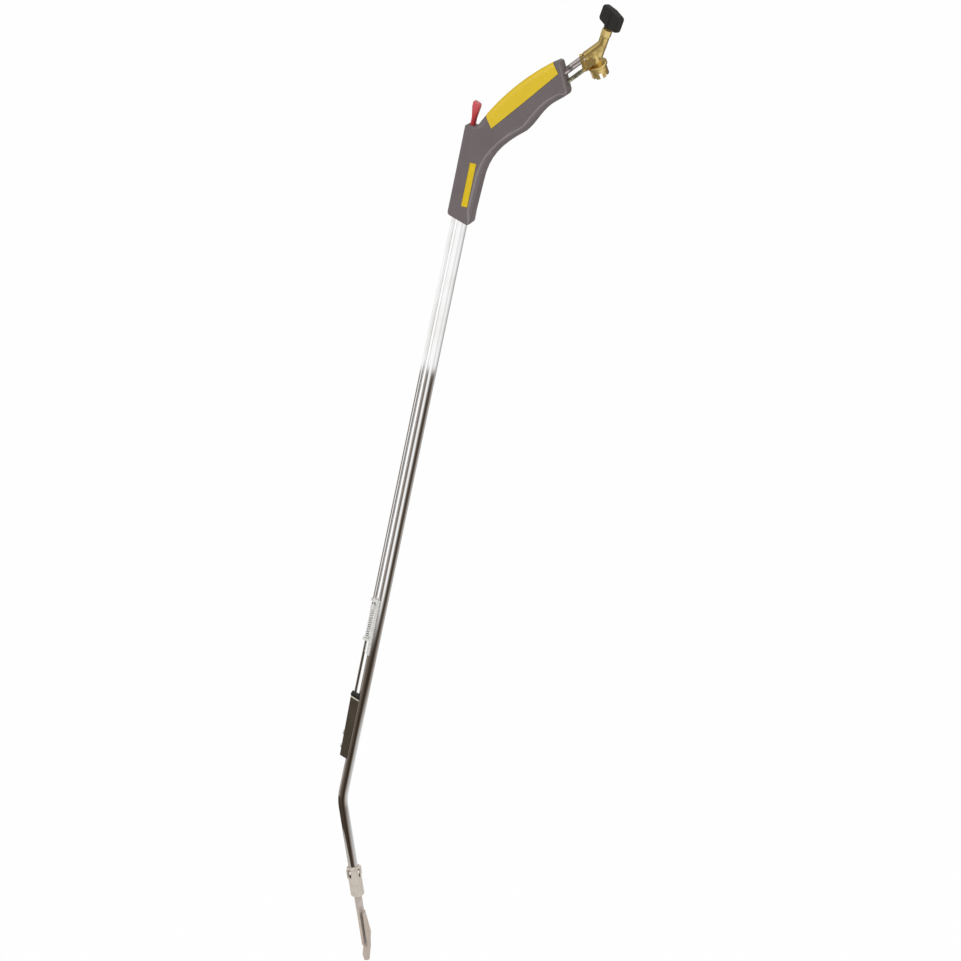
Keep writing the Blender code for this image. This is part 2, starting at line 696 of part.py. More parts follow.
def label_field(shell, lance):
    """Plain plate let into the near shell, and its pocket."""
    x, z = LABEL_CENTRE
    half_x, half_z = LABEL_WIDTH / 2, LABEL_HEIGHT / 2
    face = -HALF
    pocket = box("label_pocket", (x - half_x - CLEAR, face - REACH, z - half_z - CLEAR),
                 (x + half_x + CLEAR, face + LABEL_THICK, z + half_z + CLEAR), lance)
    cut(shell, pocket)
    box("label_plate", (x - half_x, face - CLEAR, z - half_z),
        (x + half_x, face + LABEL_THICK - CLEAR, z + half_z), lance)


def screw_hole(name, side, spot, lance):
    """Counterbored hole of the far shell or blind hole of the near boss."""
    thread = SCREW_OD / 2 + CLEAR
    head = SCREW_HEAD_OD / 2 + CLEAR
    seat = HALF - SCREW_SUNK - SCREW_HEAD - CLEAR
    if side > 0:
        profile = [(0.0, -REACH), (thread, -REACH), (thread, seat), (head, seat), (head, HALF + REACH),
                   (0.0, HALF + REACH)]
    else:
        floor = HANDLE_WALL + OVERLAP - HALF
        profile = [(0.0, floor), (thread, floor), (thread, REACH), (0.0, REACH)]
    place = line_matrix((spot.x, 0.0, spot.y), (spot.x, 1.0, spot.y))
    return turned(name, profile, lance, place, FINE_SIDES)


def shell_screw(name, spot, lance):
    """Pan head screw with a hexagon socket, driven from the far side."""
    thread, head = SCREW_OD / 2, SCREW_HEAD_OD / 2
    tip = HANDLE_WALL + OVERLAP - HALF + CLEAR
    top = HALF - SCREW_SUNK
    under_head = top - SCREW_HEAD
    profile = [(0.0, tip), (thread - CLEAR, tip), (thread, tip + SCREW_OD / 2), (thread, under_head),
               (head, under_head), (head, top - CLEAR), (head - CLEAR, top), (0.0, top)]
    place = line_matrix((spot.x, 0.0, spot.y), (spot.x, 1.0, spot.y))
    screw = turned(name, profile, lance, place, FINE_SIDES)
    cut(screw, bar(name + "_socket", (spot.x, top - SCREW_HEAD / 2, spot.y), (spot.x, top + REACH, spot.y),
                   SCREW_OD, lance, 0.0, HEX))


def lance_path(start, end, offset):
    """Line beside the lance axis from a height, through the bend, to a distance along the leg."""
    hub = Vector((BEND_RADIUS, 0.0, BEND_POINT.z + BEND_RADIUS * math.tan(LEG_ANGLE / 2)))
    path = [Vector((offset, 0.0, start))]
    for i in range(BEND_STEPS + 1):
        turn = LEG_ANGLE * i / BEND_STEPS
        path.append(hub - Vector((math.cos(turn), 0.0, math.sin(turn))) * (BEND_RADIUS - offset))
    path.append(BEND_POINT + LEG * end + LEG_SIDE * offset)
    return path


def lead_route():
    """Route of the ignition lead from the piezo unit into the lance and down to the electrode."""
    inside = -(GAS_PIPE_OD / 2 + LEAD_OD / 2 + CLEAR)
    entry = Vector((HOUSING_LEFT + LEAD_INSET, 0.0, LEAD_ENTRY))
    drop = (inside - entry.x) * LEAD_SLOPE
    elbow = Vector((inside, 0.0, entry.z - drop))
    jet_end = LEG_LENGTH + LEG_GRIP + 2 * CLEAR + JET_LENGTH + GAS_PIPE_OD
    route = [entry, elbow] + lance_path(elbow.z - TUBE_OD, jet_end, inside)
    last = LEG_LENGTH + COLLAR_LENGTH - BURNER_GRIP - 2 * CLEAR
    route.append(BEND_POINT + LEG * (last - LEAD_OD) - LEG_SIDE * ELECTRODE_OFFSET)
    route.append(BEND_POINT + LEG * last - LEG_SIDE * ELECTRODE_OFFSET)
    return route


def build_lance(lance):
    """Casing tube, gas pipe, coupling and ignition lead."""
    tube = bent_bar("lance_tube", lance_path(TUBE_TOP, LEG_LENGTH + LEG_GRIP, 0.0), TUBE_OD, lance,
                    TUBE_OD - 2 * TUBE_WALL, SIDES)
    low = COUPLING_LOW
    pipe_top = low + COUPLING_GRIP
    jet_top = LEG_LENGTH + LEG_GRIP + CLEAR
    bent_bar("gas_pipe", lance_path(pipe_top, jet_top, 0.0), GAS_PIPE_OD, lance, GAS_PIPE_BORE)
    neck_floor = COUPLING_TOP - COUPLING_GRIP - CLEAR
    pipe_roof = pipe_top + CLEAR
    outer = COUPLING_OD / 2
    wide, narrow = NECK_OD / 2 + CLEAR, GAS_PIPE_OD / 2 + CLEAR
    through = GAS_PIPE_BORE / 2
    bevel = TUBE_WALL
    turned("gas_coupling", [
        (narrow, low), (outer - bevel, low), (outer, low + bevel), (outer, COUPLING_TOP - bevel),
        (outer - bevel, COUPLING_TOP), (wide, COUPLING_TOP), (wide, neck_floor), (through, neck_floor),
        (through, pipe_roof), (narrow, pipe_roof)], lance)
    route = lead_route()
    bent_bar("ignition_lead", route, LEAD_OD, lance, 0.0, LEAD_SIDES)
    slope = (route[1] - route[0]).normalized()
    hole = bar("lead_hole", route[0] - slope * CLEAR, route[1] + slope * LEAD_OD,
               LEAD_OD + 2 * CLEAR, lance)
    cut(tube, hole)
    return tube, hole


def build_linkage(lance):
    """Button, push rods, spring and the bracket that guides them."""
    slide = frame("igniter_slide", lance, Matrix.Translation((-ROD_OFFSET, 0.0, 0.0)))
    foot_top = SHOULDER_HEIGHT - SHOULDER_FALL - HANDLE_WALL - 3 * CLEAR
    foot = foot_top - BUTTON_FOOT
    flare = SHOULDER_HEIGHT + STROKE + CLEAR
    fall = BUTTON_RAKE / BUTTON_HEAD[0]
    rows = ((foot, BUTTON_STEM, 0.0), (flare, BUTTON_STEM, 0.0),
            (BUTTON_TOP - 2 * HARD_EDGE, BUTTON_HEAD, 0.0), (BUTTON_TOP - HARD_EDGE / 2, BUTTON_HEAD, fall))
    rings = []
    for level, (wide, deep), slope in rows:
        x, y = wide / 2, deep / 2
        outline = rounded_outline(((-x, -y), (x, -y), (x, y), (-x, y)), BUTTON_CORNER)
        rings.append([(x, y, level - x * slope) for x, y in outline])
    crown = [(x * BUTTON_DOME[0], y * BUTTON_DOME[1], BUTTON_TOP - x * fall) for x, y, _ in rings[-1]]
    button = loft("igniter_button", rings + [crown], slide)
    half_x, half_y = BUTTON_STEM[0] / 2, BUTTON_FOOT_WIDTH / 2
    add(button, box("button_foot", (-half_x, -half_y, foot), (half_x, half_y, foot_top), slide))
    collar_low = ROD_COLLAR_TOP - ROD_COLLAR
    bar("push_rod_upper", (0.0, 0.0, foot - CLEAR), (0.0, 0.0, ROD_COLLAR_TOP + CLEAR), ROD_OD, slide,
        0.0, FINE_SIDES)
    outer, inner = ROD_COLLAR_OD / 2, THIN_ROD_OD / 2 + CLEAR
    turned("rod_collar", [
        (inner, collar_low), (outer - CLEAR, collar_low), (outer, collar_low + CLEAR),
        (outer, ROD_COLLAR_TOP - CLEAR), (outer - CLEAR, ROD_COLLAR_TOP), (inner, ROD_COLLAR_TOP)], slide)
    rod_end = gasket_low() - CLEAR
    bar("push_rod_lower", (0.0, 0.0, ROD_COLLAR_TOP), (0.0, 0.0, rod_end), THIN_ROD_OD, slide,
        0.0, FINE_SIDES)
    bar("piezo_plunger", (0.0, 0.0, rod_end - CLEAR), (0.0, 0.0, rod_end - CLEAR - PLUNGER_LENGTH),
        PLUNGER_OD, slide, 0.0, FINE_SIDES)
    return_spring(collar_low - CLEAR, LOWER_EAR_TOP + CLEAR, slide)
    guide_bracket(lance)


def return_spring(top, low, slide):
    """Open coil between the rod collar and the lower ear."""
    wire = SPRING_WIRE / 2
    coil = SPRING_OD / 2 - wire
    count = SPRING_CURLS * SPRING_STEPS + 1
    climb = (top - low - 2 * SPRING_WIRE) / (count - 1)
    points = []
    for i in range(count):
        turn = math.tau * i / SPRING_STEPS
        points.append(Vector((coil * math.cos(turn), coil * math.sin(turn), low + SPRING_WIRE + climb * i)))
    curve = bpy.data.curves.new("return_spring", "CURVE")
    curve.dimensions = "3D"
    curve.bevel_depth = wire
    curve.bevel_resolution = 1
    curve.use_fill_caps = True
    curve.resolution_u = 1
    curve.render_resolution_u = 0
    spline = curve.splines.new("POLY")
    spline.points.add(count - 1)
    for spot, point in zip(spline.points, points):
        spot.co = (*point, 1.0)
    spring = bpy.data.objects.new("return_spring", curve)
    bpy.context.collection.objects.link(spring)
    spring.parent = slide
    gaps = [(points[i + SPRING_STEPS] - points[i]).length for i in range(count - SPRING_STEPS)]
    print(f"spring curls {SPRING_CURLS}, least gap {(min(gaps) - SPRING_WIRE) * 1000:.2f} mm")


def guide_bracket(lance):
    """Sheet saddle on the lance with two ears that carry the push rod."""
    inner = TUBE_R + CLEAR
    outer = inner + BRACKET_SHEET
    turns = [math.pi + BRACKET_WRAP * (2 * i / BRACKET_STEPS - 1) for i in range(BRACKET_STEPS + 1)]
    arc = [(math.cos(t), math.sin(t)) for t in turns]
    outline = [(inner * x, inner * y) for x, y in arc] + [(outer * x, outer * y) for x, y in arc[::-1]]
    bracket = prism("guide_bracket", outline, BRACKET_BOTTOM, BRACKET_TOP, lance)
    root = -(inner + BRACKET_SHEET / 2)
    shoulder = root + EAR_LAP
    half = EAR_WIDTH / 2
    ear = [(-EAR_REACH + half / 3, -half), (shoulder, -half), (root, 0.0), (shoulder, half),
           (-EAR_REACH + half / 3, half), (-EAR_REACH, half / 2), (-EAR_REACH, -half / 2)]
    for name, top, size in (("upper", BRACKET_TOP - CLEAR, ROD_OD), ("lower", LOWER_EAR_TOP, THIN_ROD_OD)):
        add(bracket, prism(name + "_ear", ear, top - EAR, top, lance))
        cut(bracket, bar(name + "_ear_hole", (-ROD_OFFSET, 0.0, top - EAR - REACH / 4),
                         (-ROD_OFFSET, 0.0, top + REACH / 4), size + 2 * CLEAR, lance))


def gasket_low():
    """Height of the gasket's underside on the rod axis."""
    return HOUSING_TOP - LID_THICK - GASKET_THICK - CLEAR


def raked_ring(left, grow, level):
    """Cross-section of the igniter housing round the lance; its ends fall towards the lance."""
    wide = HOUSING_WIDTH / 2 + grow
    saddle = TUBE_R + CLEAR
    hug = math.asin(wide / saddle)
    turns = [math.pi + hug * (2 * i / SADDLE_STEPS - 1) for i in range(SADDLE_STEPS + 1)]
    nose = -saddle * math.cos(hug)
    low, high = Vector((left - grow, -wide)), Vector((left - grow, wide))
    outline = [tuple(spot) for spot, _ in corner_arc(Vector((nose, -wide)), low, high, HOUSING_CORNER)]
    outline += [tuple(spot) for spot, _ in corner_arc(low, high, Vector((nose, wide)), HOUSING_CORNER)]
    outline += [(saddle * math.cos(turn), saddle * math.sin(turn)) for turn in turns]
    return [(x, y, level - (x + ROD_OFFSET) * math.tan(HOUSING_RAKE)) for x, y in outline]


def left_face(level):
    """Place of the housing's tapered left face at a height."""
    return HOUSING_LEFT + HOUSING_TAPER * (HOUSING_TOP - level) / (HOUSING_TOP - HOUSING_BOTTOM)


def build_igniter(lance, tube, lead_hole):
    """Housing with lid, gasket, piezo unit and its two screws."""
    lid_low = HOUSING_TOP - LID_THICK
    gasket_top = lid_low - CLEAR / 2
    body_top = gasket_low() - CLEAR / 2
    rod_hole = bar("rod_hole", (-ROD_OFFSET, 0.0, HOUSING_TOP + REACH),
                   (-ROD_OFFSET, 0.0, body_top - REACH), THIN_ROD_OD + 2 * CLEAR, lance)
    lid = loft("housing_lid", [
        raked_ring(HOUSING_LEFT, CLEAR, level) for level in (lid_low, HOUSING_TOP)], lance)
    gasket = loft("lid_gasket", [
        raked_ring(HOUSING_LEFT, 0.0, level) for level in (gasket_low(), gasket_top)], lance)
    cut(lid, rod_hole)
    cut(gasket, rod_hole)
    body = loft("igniter_housing", [
        raked_ring(left_face(level), 0.0, level) for level in (HOUSING_BOTTOM, body_top)], lance)
    left = HOUSING_LEFT + HOUSING_WALL
    right = -(TUBE_R + CLEAR + HOUSING_WALL / 2)
    half = HOUSING_WIDTH / 2 - HOUSING_WALL
    floor = body_top - CAVITY_DEPTH
    cut(body, box("piezo_cavity", (left, -half, floor), (right, half, body_top + REACH), lance), lead_hole)
    piezo_low = floor + CLEAR
    piezo_top = piezo_low + PIEZO_HEIGHT
    piezo = box("piezo_unit", (left + CLEAR, CLEAR - half, piezo_low),
                (right - CLEAR, half - CLEAR, piezo_top), lance)
    plunger_low = gasket_low() - 2 * CLEAR - PLUNGER_LENGTH
    cut(piezo, bar("plunger_bore", (-ROD_OFFSET, 0.0, plunger_low - STROKE - CLEAR),
                   (-ROD_OFFSET, 0.0, piezo_top + REACH), PLUNGER_OD + 2 * CLEAR, lance), lead_hole)
    for i, level in enumerate(HOUSING_SCREWS):
        name = f"housing_screw_{i + 1}"
        tip = -(TUBE_R - TUBE_WALL + CLEAR)
        seat = left_face(level) - CLEAR
        thread, head = SCREW_OD / 2, HOUSING_SCREW_HEAD_OD / 2
        length = tip - seat
        screw = turned(name, [
            (0.0, -HOUSING_SCREW_HEAD), (head - CLEAR, -HOUSING_SCREW_HEAD),
            (head, CLEAR - HOUSING_SCREW_HEAD), (head, 0.0), (thread, 0.0), (thread, length - CLEAR),
            (thread - CLEAR, length), (0.0, length)],
            lance, line_matrix((seat, 0.0, level), (0.0, 0.0, level)), FINE_SIDES)
        half_slot = SCREW_SLOT / 2
        cut(screw, box(name + "_slot",
                       (seat - HOUSING_SCREW_HEAD - REACH, -head - REACH, level - half_slot),
                       (seat - HOUSING_SCREW_HEAD / 2, head + REACH, level + half_slot), lance))
        hole = bar(name + "_hole", (HOUSING_LEFT - REACH, 0.0, level), (tip + 2 * CLEAR, 0.0, level),
                   SCREW_OD + 2 * CLEAR, lance)
        cut(body, hole)
        cut(tube, hole)


def build_burner(lance):
    """Mixer collar, jet, burner tube, flame holder, electrode and shroud; Z runs towards the flame."""
    burner = frame("burner_frame", lance, axes_matrix(LEG_SIDE, Vector((0.0, -1.0, 0.0)), LEG, BEND_POINT))
    top = LEG_LENGTH
    low = top + COLLAR_LENGTH
    outer, chamber = COLLAR_OD / 2, COLLAR_CHAMBER / 2
    tube_fit = TUBE_R + CLEAR
    tube_fit_end = top + LEG_GRIP + CLEAR
    burner_fit = BURNER_OD / 2 + CLEAR
    burner_top = low - BURNER_GRIP
    nose = [(outer - COLLAR_NOSE * (1 - math.cos(turn)), low - COLLAR_NOSE * (1 - math.sin(turn)))
            for turn in NOSE_TURNS]
    collar = turned("burner_collar", [
        (tube_fit, top), (outer - TUBE_WALL, top), (outer, top + TUBE_WALL), *nose, (burner_fit, low),
        (burner_fit, burner_top - CLEAR), (chamber, burner_top - AIR_SLOT_WIDTH), (chamber, tube_fit_end),
        (tube_fit, tube_fit_end)], burner, Matrix(), COLLAR_SIDES)
    for i, turn in enumerate(AIR_SLOT_TURNS):
        face = Matrix.Rotation(math.radians(turn + 90.0), 4, "Z")
        half = AIR_SLOT_WIDTH / 2
        slot = box(f"air_slot_{i}", (tube_fit - CLEAR, -half, top + AIR_SLOT_FROM),
                   (outer + REACH, half, top + AIR_SLOT_TO), burner, face)
        lip = box(f"air_lip_{i}", (outer - AIR_LIP, half, top + AIR_SLOT_FROM),
                  (outer + AIR_LIP, half + AIR_LIP, top + AIR_SLOT_TO), burner, face)
        add(collar, lip)
        cut(collar, slot)
    jet_top = LEG_LENGTH + LEG_GRIP + 2 * CLEAR
    body, spigot, orifice = GAS_PIPE_OD / 2, GAS_PIPE_BORE / 2 - CLEAR, JET_ORIFICE / 2
    turned("gas_jet", [
        (orifice, jet_top - GAS_PIPE_OD), (spigot, jet_top - GAS_PIPE_OD), (spigot, jet_top),
        (body, jet_top), (body, jet_top + JET_LENGTH / 2), (orifice + CLEAR, jet_top + JET_LENGTH),
        (orifice, jet_top + JET_LENGTH)], burner, Matrix(), FINE_SIDES)
    bar("burner_tube", (0.0, 0.0, burner_top), (0.0, 0.0, BURNER_END), BURNER_OD, burner, BURNER_BORE)
    holder_at = BURNER_END - HOLDER_SETBACK
    holder = bar("flame_holder", (0.0, 0.0, holder_at), (0.0, 0.0, holder_at + HOLDER_THICK),
                 BURNER_BORE - 2 * CLEAR, burner)
    for i, turn in enumerate(PORT_TURNS):
        spot = (PORT_RING * math.cos(math.radians(turn)), PORT_RING * math.sin(math.radians(turn)))
        cut(holder, bar(f"flame_port_{i}", (*spot, holder_at - REACH / 4),
                        (*spot, holder_at + HOLDER_THICK + REACH / 4), PORT_OD, burner, 0.0, LEAD_SIDES))
    cut(holder, bar("insulator_port", (-ELECTRODE_OFFSET, 0.0, holder_at - REACH / 4),
                    (-ELECTRODE_OFFSET, 0.0, holder_at + HOLDER_THICK + REACH / 4),
                    INSULATOR_OD + 2 * CLEAR, burner, 0.0, FINE_SIDES))
    bar("electrode_insulator", (-ELECTRODE_OFFSET, 0.0, burner_top),
        (-ELECTRODE_OFFSET, 0.0, BURNER_END - REACH), INSULATOR_OD, burner, ELECTRODE_OD + 2 * CLEAR,
        FINE_SIDES)
    path = [Vector((-ELECTRODE_OFFSET, 0.0, burner_top)), Vector((-ELECTRODE_OFFSET, 0.0, BURNER_END)),
            Vector((ELECTRODE_HOOK - ELECTRODE_OFFSET, 0.0, BURNER_END + ELECTRODE_TIP / 2)),
            Vector((0.0, 0.0, BURNER_END + ELECTRODE_TIP))]
    bent_bar("spark_electrode", path, ELECTRODE_OD, burner, 0.0, WIRE_SIDES)
    rings = []
    for level, radius, centre, span in SHROUD_STATIONS:
        turns = [math.radians(span * (2 * i / SHROUD_STEPS - 1)) for i in range(SHROUD_STEPS + 1)]
        sheet = [(radius, t) for t in turns] + [(radius - SHROUD_SHEET, t) for t in turns[::-1]]
        rings.append([(centre + r * math.cos(t), r * math.sin(t), LEG_LENGTH + level) for r, t in sheet])
    loft("flame_shroud", rings, burner)


def build_neck(lance):
    """Gas pipe and stay between the handle and the valve, and the plate that ties them."""
    corner = NECK_BEND * math.tan((math.pi / 2 - NECK_ANGLE) / 2)
    hub = NECK_START + Vector((NECK_BEND, 0.0, -corner))
    path = [Vector((0.0, 0.0, COUPLING_TOP - COUPLING_GRIP))]
    for i in range(NECK_STEPS + 1):
        turn = (math.pi / 2 - NECK_ANGLE) * i / NECK_STEPS
        path.append(hub + Vector((-math.cos(turn), 0.0, math.sin(turn))) * NECK_BEND)
    path.append(VALVE_POINT - NECK * (BOSS_BACK - NECK_SOCKET))
    bent_bar("neck_pipe", path, NECK_OD, lance, NECK_BORE, NECK_SIDES)
    stay_line = NECK_START - NECK_UP * STAY_DROP
    stay = bar("stay_rod", stay_line + NECK * STAY_FROM, stay_line + NECK * STAY_TO, STAY_OD, lance,
               0.0, FINE_SIDES)
    tie = frame("plate_frame", lance, axes_matrix(NECK, Vector((0.0, 1.0, 0.0)), NECK_UP,
                                                  VALVE_POINT - NECK * PLATE_SETBACK))
    half = PLATE_WIDTH / 2
    corners = ((-PLATE_BELOW, -half), (PLATE_ABOVE, -half), (PLATE_ABOVE, half), (-PLATE_BELOW, half))
    outline = [(y, z) for z, y in rounded_outline(corners, HARD_EDGE)]
    tilt = Matrix.Rotation(PLATE_TILT, 4, "Y")
    rings = [[tilt @ Vector((x, y, z)) for y, z in outline] for x in (-PLATE_THICK / 2, PLATE_THICK / 2)]
    plate = loft("neck_plate", rings, tie)
    cut(plate, bar("plate_pipe_hole", (-2 * REACH, 0.0, 0.0), (2 * REACH, 0.0, 0.0),
                   NECK_OD + 2 * CLEAR, tie))
    cut(stay, box("stay_trim", (-PLATE_THICK / 2 - CLEAR, -REACH, -PLATE_BELOW - REACH),
                  (PLATE_BELOW, REACH, 0.0), tie, tilt))
    return plate


def build_valve(lance, plate):
    """Cast body, stem with packing and nut, knob, and the cylinder connection."""
    across = Vector((0.0, 1.0, 0.0))
    roll = Matrix.Rotation(VALVE_ROLL, 4, "X")
    valve = frame("valve_frame", lance, axes_matrix(NECK, across, NECK_UP, VALVE_POINT) @ roll)
    stem_axis = Vector((math.cos(STEM_ANGLE), 0.0, math.sin(STEM_ANGLE)))
    inlet_axis = Vector((math.cos(INLET_ANGLE), 0.0, -math.sin(INLET_ANGLE)))
    stem = frame("stem_frame", valve, axes_matrix(across.cross(stem_axis), across, stem_axis, Vector()))
    inlet = frame("inlet_frame", valve, axes_matrix(across.cross(inlet_axis), across, inlet_axis,
                                                    Vector((-INLET_SETBACK, 0.0, 0.0))))
    body = bar("valve_body", (0.0, 0.0, -STEM_HOUSING_BACK), (0.0, 0.0, STEM_HOUSING_AHEAD),
               STEM_HOUSING_OD, stem)
    add(body, bar("body_boss", (-BOSS_BACK, 0.0, 0.0), (BOSS_AHEAD, 0.0, 0.0), VALVE_BOSS_OD, valve))
    flange_low = FLANGE_AT + FLANGE_THICK
    spigot_low = flange_low + SPIGOT_LENGTH
    branch, flange, spigot = BRANCH_OD / 2, FLANGE_OD / 2, SPIGOT_OD / 2
    bevel = CLEAR * 2
    add(body, turned("body_branch", [
        (0.0, 0.0), (branch, 0.0), (branch, FLANGE_AT), (flange - bevel, FLANGE_AT),
        (flange, FLANGE_AT + bevel), (flange, flange_low - bevel), (flange - bevel, flange_low),
        (spigot, flange_low), (spigot, spigot_low), (0.0, spigot_low)], inlet))
    packing_floor = STEM_HOUSING_AHEAD - PACKING_DEPTH
    passage_end = BOSS_BACK - NECK_SOCKET - CLEAR
    cut(body,
        bar("neck_socket", (-BOSS_BACK - REACH, 0.0, 0.0), (-passage_end, 0.0, 0.0),
            NECK_OD + 2 * CLEAR, valve),
        bar("gas_passage", (-passage_end - REACH, 0.0, 0.0), (0.0, 0.0, 0.0), GAS_PASSAGE, valve,
            0.0, PASSAGE_SIDES),
        turned("stem_chamber", [
            (0.0, -SEAT_AT), (STEM_OD / 2 + CLEAR, -SEAT_AT), (STEM_OD / 2 + CLEAR, packing_floor),
            (PACKING_OD / 2, packing_floor), (PACKING_OD / 2, STEM_HOUSING_AHEAD + REACH),
            (0.0, STEM_HOUSING_AHEAD + REACH)], stem),
        bar("seat_bore", (0.0, 0.0, -SEAT_AT + OVERLAP), (0.0, 0.0, -SEAT_BORE_END), SEAT_OD, stem,
            0.0, PASSAGE_SIDES),
        bar("inlet_bore", (0.0, 0.0, spigot_low + REACH), (0.0, 0.0, spigot_low - INLET_DEPTH),
            INLET_BORE, inlet))
    relief = bar("flange_relief", (0.0, 0.0, FLANGE_AT - CLEAR), (0.0, 0.0, flange_low + CLEAR),
                 FLANGE_OD + 2 * CLEAR, inlet)
    cut(plate, relief)
    build_stem(stem, packing_floor)
    collar_top = flange_low + CLEAR
    collar_low = collar_top + CYL_COLLAR_LENGTH
    inner, outer = spigot + CLEAR, CYL_COLLAR_OD / 2
    collar = turned("cylinder_collar", [
        (inner, collar_top), (outer - bevel, collar_top), (outer, collar_top + bevel),
        (outer, collar_low - bevel), (outer - bevel, collar_low), (inner, collar_low)],
        inlet, Matrix(), CASTLE_SIDES)
    for i in range(CASTLE_SLOTS):
        face = Matrix.Rotation(math.tau * i / CASTLE_SLOTS, 4, "Z")
        half = CASTLE_SLOT_WIDTH / 2
        cut(collar, box(f"castle_slot_{i}", (inner - REACH / 2, -half, collar_low - CASTLE_SLOT_DEPTH),
                        (outer + REACH, half, collar_low + REACH), inlet, face))
    seal_top = spigot_low + CLEAR
    seal_low = seal_top + SEAL_THICK
    bar("inlet_seal", (0.0, 0.0, seal_top), (0.0, 0.0, seal_low), SEAL_OD, inlet, SEAL_BORE)
    pin, pin_end = PIN_OD / 2, seal_low + PIN_PROUD
    turned("inlet_pin", [
        (0.0, spigot_low - INLET_DEPTH / 2), (pin, spigot_low - INLET_DEPTH / 2),
        (pin, pin_end - PIN_OD / 3), (pin / 2, pin_end), (0.0, pin_end)], inlet, Matrix(), FINE_SIDES)
    return stem, inlet, seal_low


def build_stem(stem, packing_floor):
    """Needle stem, packing, gland nut and knob on the stem axis."""
    shaft, needle, tip = STEM_OD / 2, NEEDLE_OD / 2, NEEDLE_TIP / 2
    top = KNOB_CENTRE + KNOB_HEIGHT / 4
    point = -SEAT_AT - NEEDLE_TIP
    turned("valve_stem", [
        (0.0, point), (tip, point), (needle, point + NEEDLE_TAPER), (needle, packing_floor - NEEDLE_OD),
        (shaft, packing_floor - NEEDLE_OD + CLEAR), (shaft, top - CLEAR), (shaft - CLEAR, top), (0.0, top)],
        stem, Matrix(), FINE_SIDES)
    seal_low = packing_floor + CLEAR
    seal_top = seal_low + PACKING
    bar("stem_seal", (0.0, 0.0, seal_low), (0.0, 0.0, seal_top), PACKING_OD - 2 * CLEAR, stem,
        STEM_OD + 2 * CLEAR)
    skirt = STEM_HOUSING_AHEAD + CLEAR
    bore = STEM_OD / 2 + CLEAR
    nut_top = skirt + NUT_HEIGHT
    corner_radius = NUT_ACROSS / math.sqrt(3)
    nut = turned("gland_nut", [
        (bore, seal_top + CLEAR), (PACKING_OD / 2 - CLEAR, seal_top + CLEAR),
        (PACKING_OD / 2 - CLEAR, skirt), (corner_radius, skirt), (corner_radius, nut_top - NUT_CHAMFER),
        (corner_radius - NUT_CHAMFER, nut_top), (bore, nut_top)], stem)
    turns = [math.tau * i / HEX for i in range(HEX)]
    hexagon = [(corner_radius * math.cos(turn), corner_radius * math.sin(turn)) for turn in turns]
    flats = prism("nut_flats", hexagon, seal_top - REACH, nut_top + REACH, stem)
    combine(nut, flats, "INTERSECT")
    knob_frame = frame("knob_frame", stem, Matrix.Rotation(KNOB_REST, 4, "Z"))
    half, high = KNOB_WIDTH / 2, KNOB_HEIGHT / 2
    side = high - KNOB_CROWN
    corners = ((-half, -side), (-half, side), (0.0, high), (half, side), (half, -side), (0.0, -high))
    outline = [Vector(spot) for spot in rounded_outline(corners, KNOB_CORNER, 3)]
    rings = []
    for face, angle in ((-1, 90.0), (-1, 45.0), (-1, 0.0), (1, 0.0), (1, 45.0), (1, 90.0)):
        tuck = KNOB_EDGE * (1 - math.cos(math.radians(angle)))
        out = KNOB_THICK / 2 - KNOB_EDGE * (1 - math.sin(math.radians(angle)))
        wide, tall = 1 - tuck / half, 1 - tuck / high
        rings.append([(p.x * wide, face * out, p.y * tall + KNOB_CENTRE) for p in outline])
    knob = loft("valve_knob", rings, knob_frame)
    hub_low = KNOB_CENTRE - high - CLEAR * 2
    add(knob, turned("knob_hub", [
        (0.0, hub_low), (KNOB_HUB_OD / 2 - CLEAR, hub_low), (KNOB_HUB_OD / 2, hub_low + CLEAR),
        (KNOB_HUB_OD / 2, KNOB_CENTRE + high / 2), (KNOB_HUB_OD / 3, KNOB_CENTRE + side),
        (0.0, KNOB_CENTRE + side)], knob_frame))
    cut(knob, bar("knob_socket", (0.0, 0.0, hub_low - REACH), (0.0, 0.0, top + CLEAR),
                  STEM_OD + 2 * CLEAR, knob_frame))


def dress():
    """Give every piece its finish."""
    for name, (colour, roughness, metallic, pieces) in FINISHES.items():
        material = bpy.data.materials.new(name)
        material.use_nodes = True
        shader = material.node_tree.nodes["Principled BSDF"]
        shader.inputs["Base Color"].default_value = (*colour, 1.0)
        shader.inputs["Roughness"].default_value = roughness
        shader.inputs["Metallic"].default_value = metallic
        material.diffuse_color = (*colour, 1.0)
        for piece in bpy.data.objects:
            if piece.data and piece.name.startswith(pieces) and not piece.hide_render:
                piece.data.materials.append(material)


def row(vector):
    """Vector as a plain rounded list."""
    return [round(value, 6) for value in vector]


def build():
    """Assemble the torch about the middle of the grip and print where it connects and moves."""
    lance = frame("lance_frame", None, Matrix.Translation((-GRIP_CENTRE.x, 0.0, -GRIP_CENTRE.y)))
    build_handle(lance)
    tube, lead_hole = build_lance(lance)
    build_linkage(lance)
    build_igniter(lance, tube, lead_hole)
    build_burner(lance)
    plate = build_neck(lance)
    stem, inlet, seal_low = build_valve(lance, plate)
    dress()
    bpy.context.view_layer.update()
    seat = inlet.matrix_world @ Vector(((SEAL_OD + SEAL_BORE) / 4, 0.0, seal_low))
    print("cylinder seat", row(seat), "axis", row(inlet.matrix_world.to_3x3().col[2]))
    print("cylinder axis point", row(inlet.matrix_world @ Vector((0.0, 0.0, seal_low))))
    print("stem point", row(stem.matrix_world.translation), "axis", row(stem.matrix_world.to_3x3().col[2]))
    print("spring fixed end", round(LOWER_EAR_TOP + CLEAR - GRIP_CENTRE.y, 6))


build()
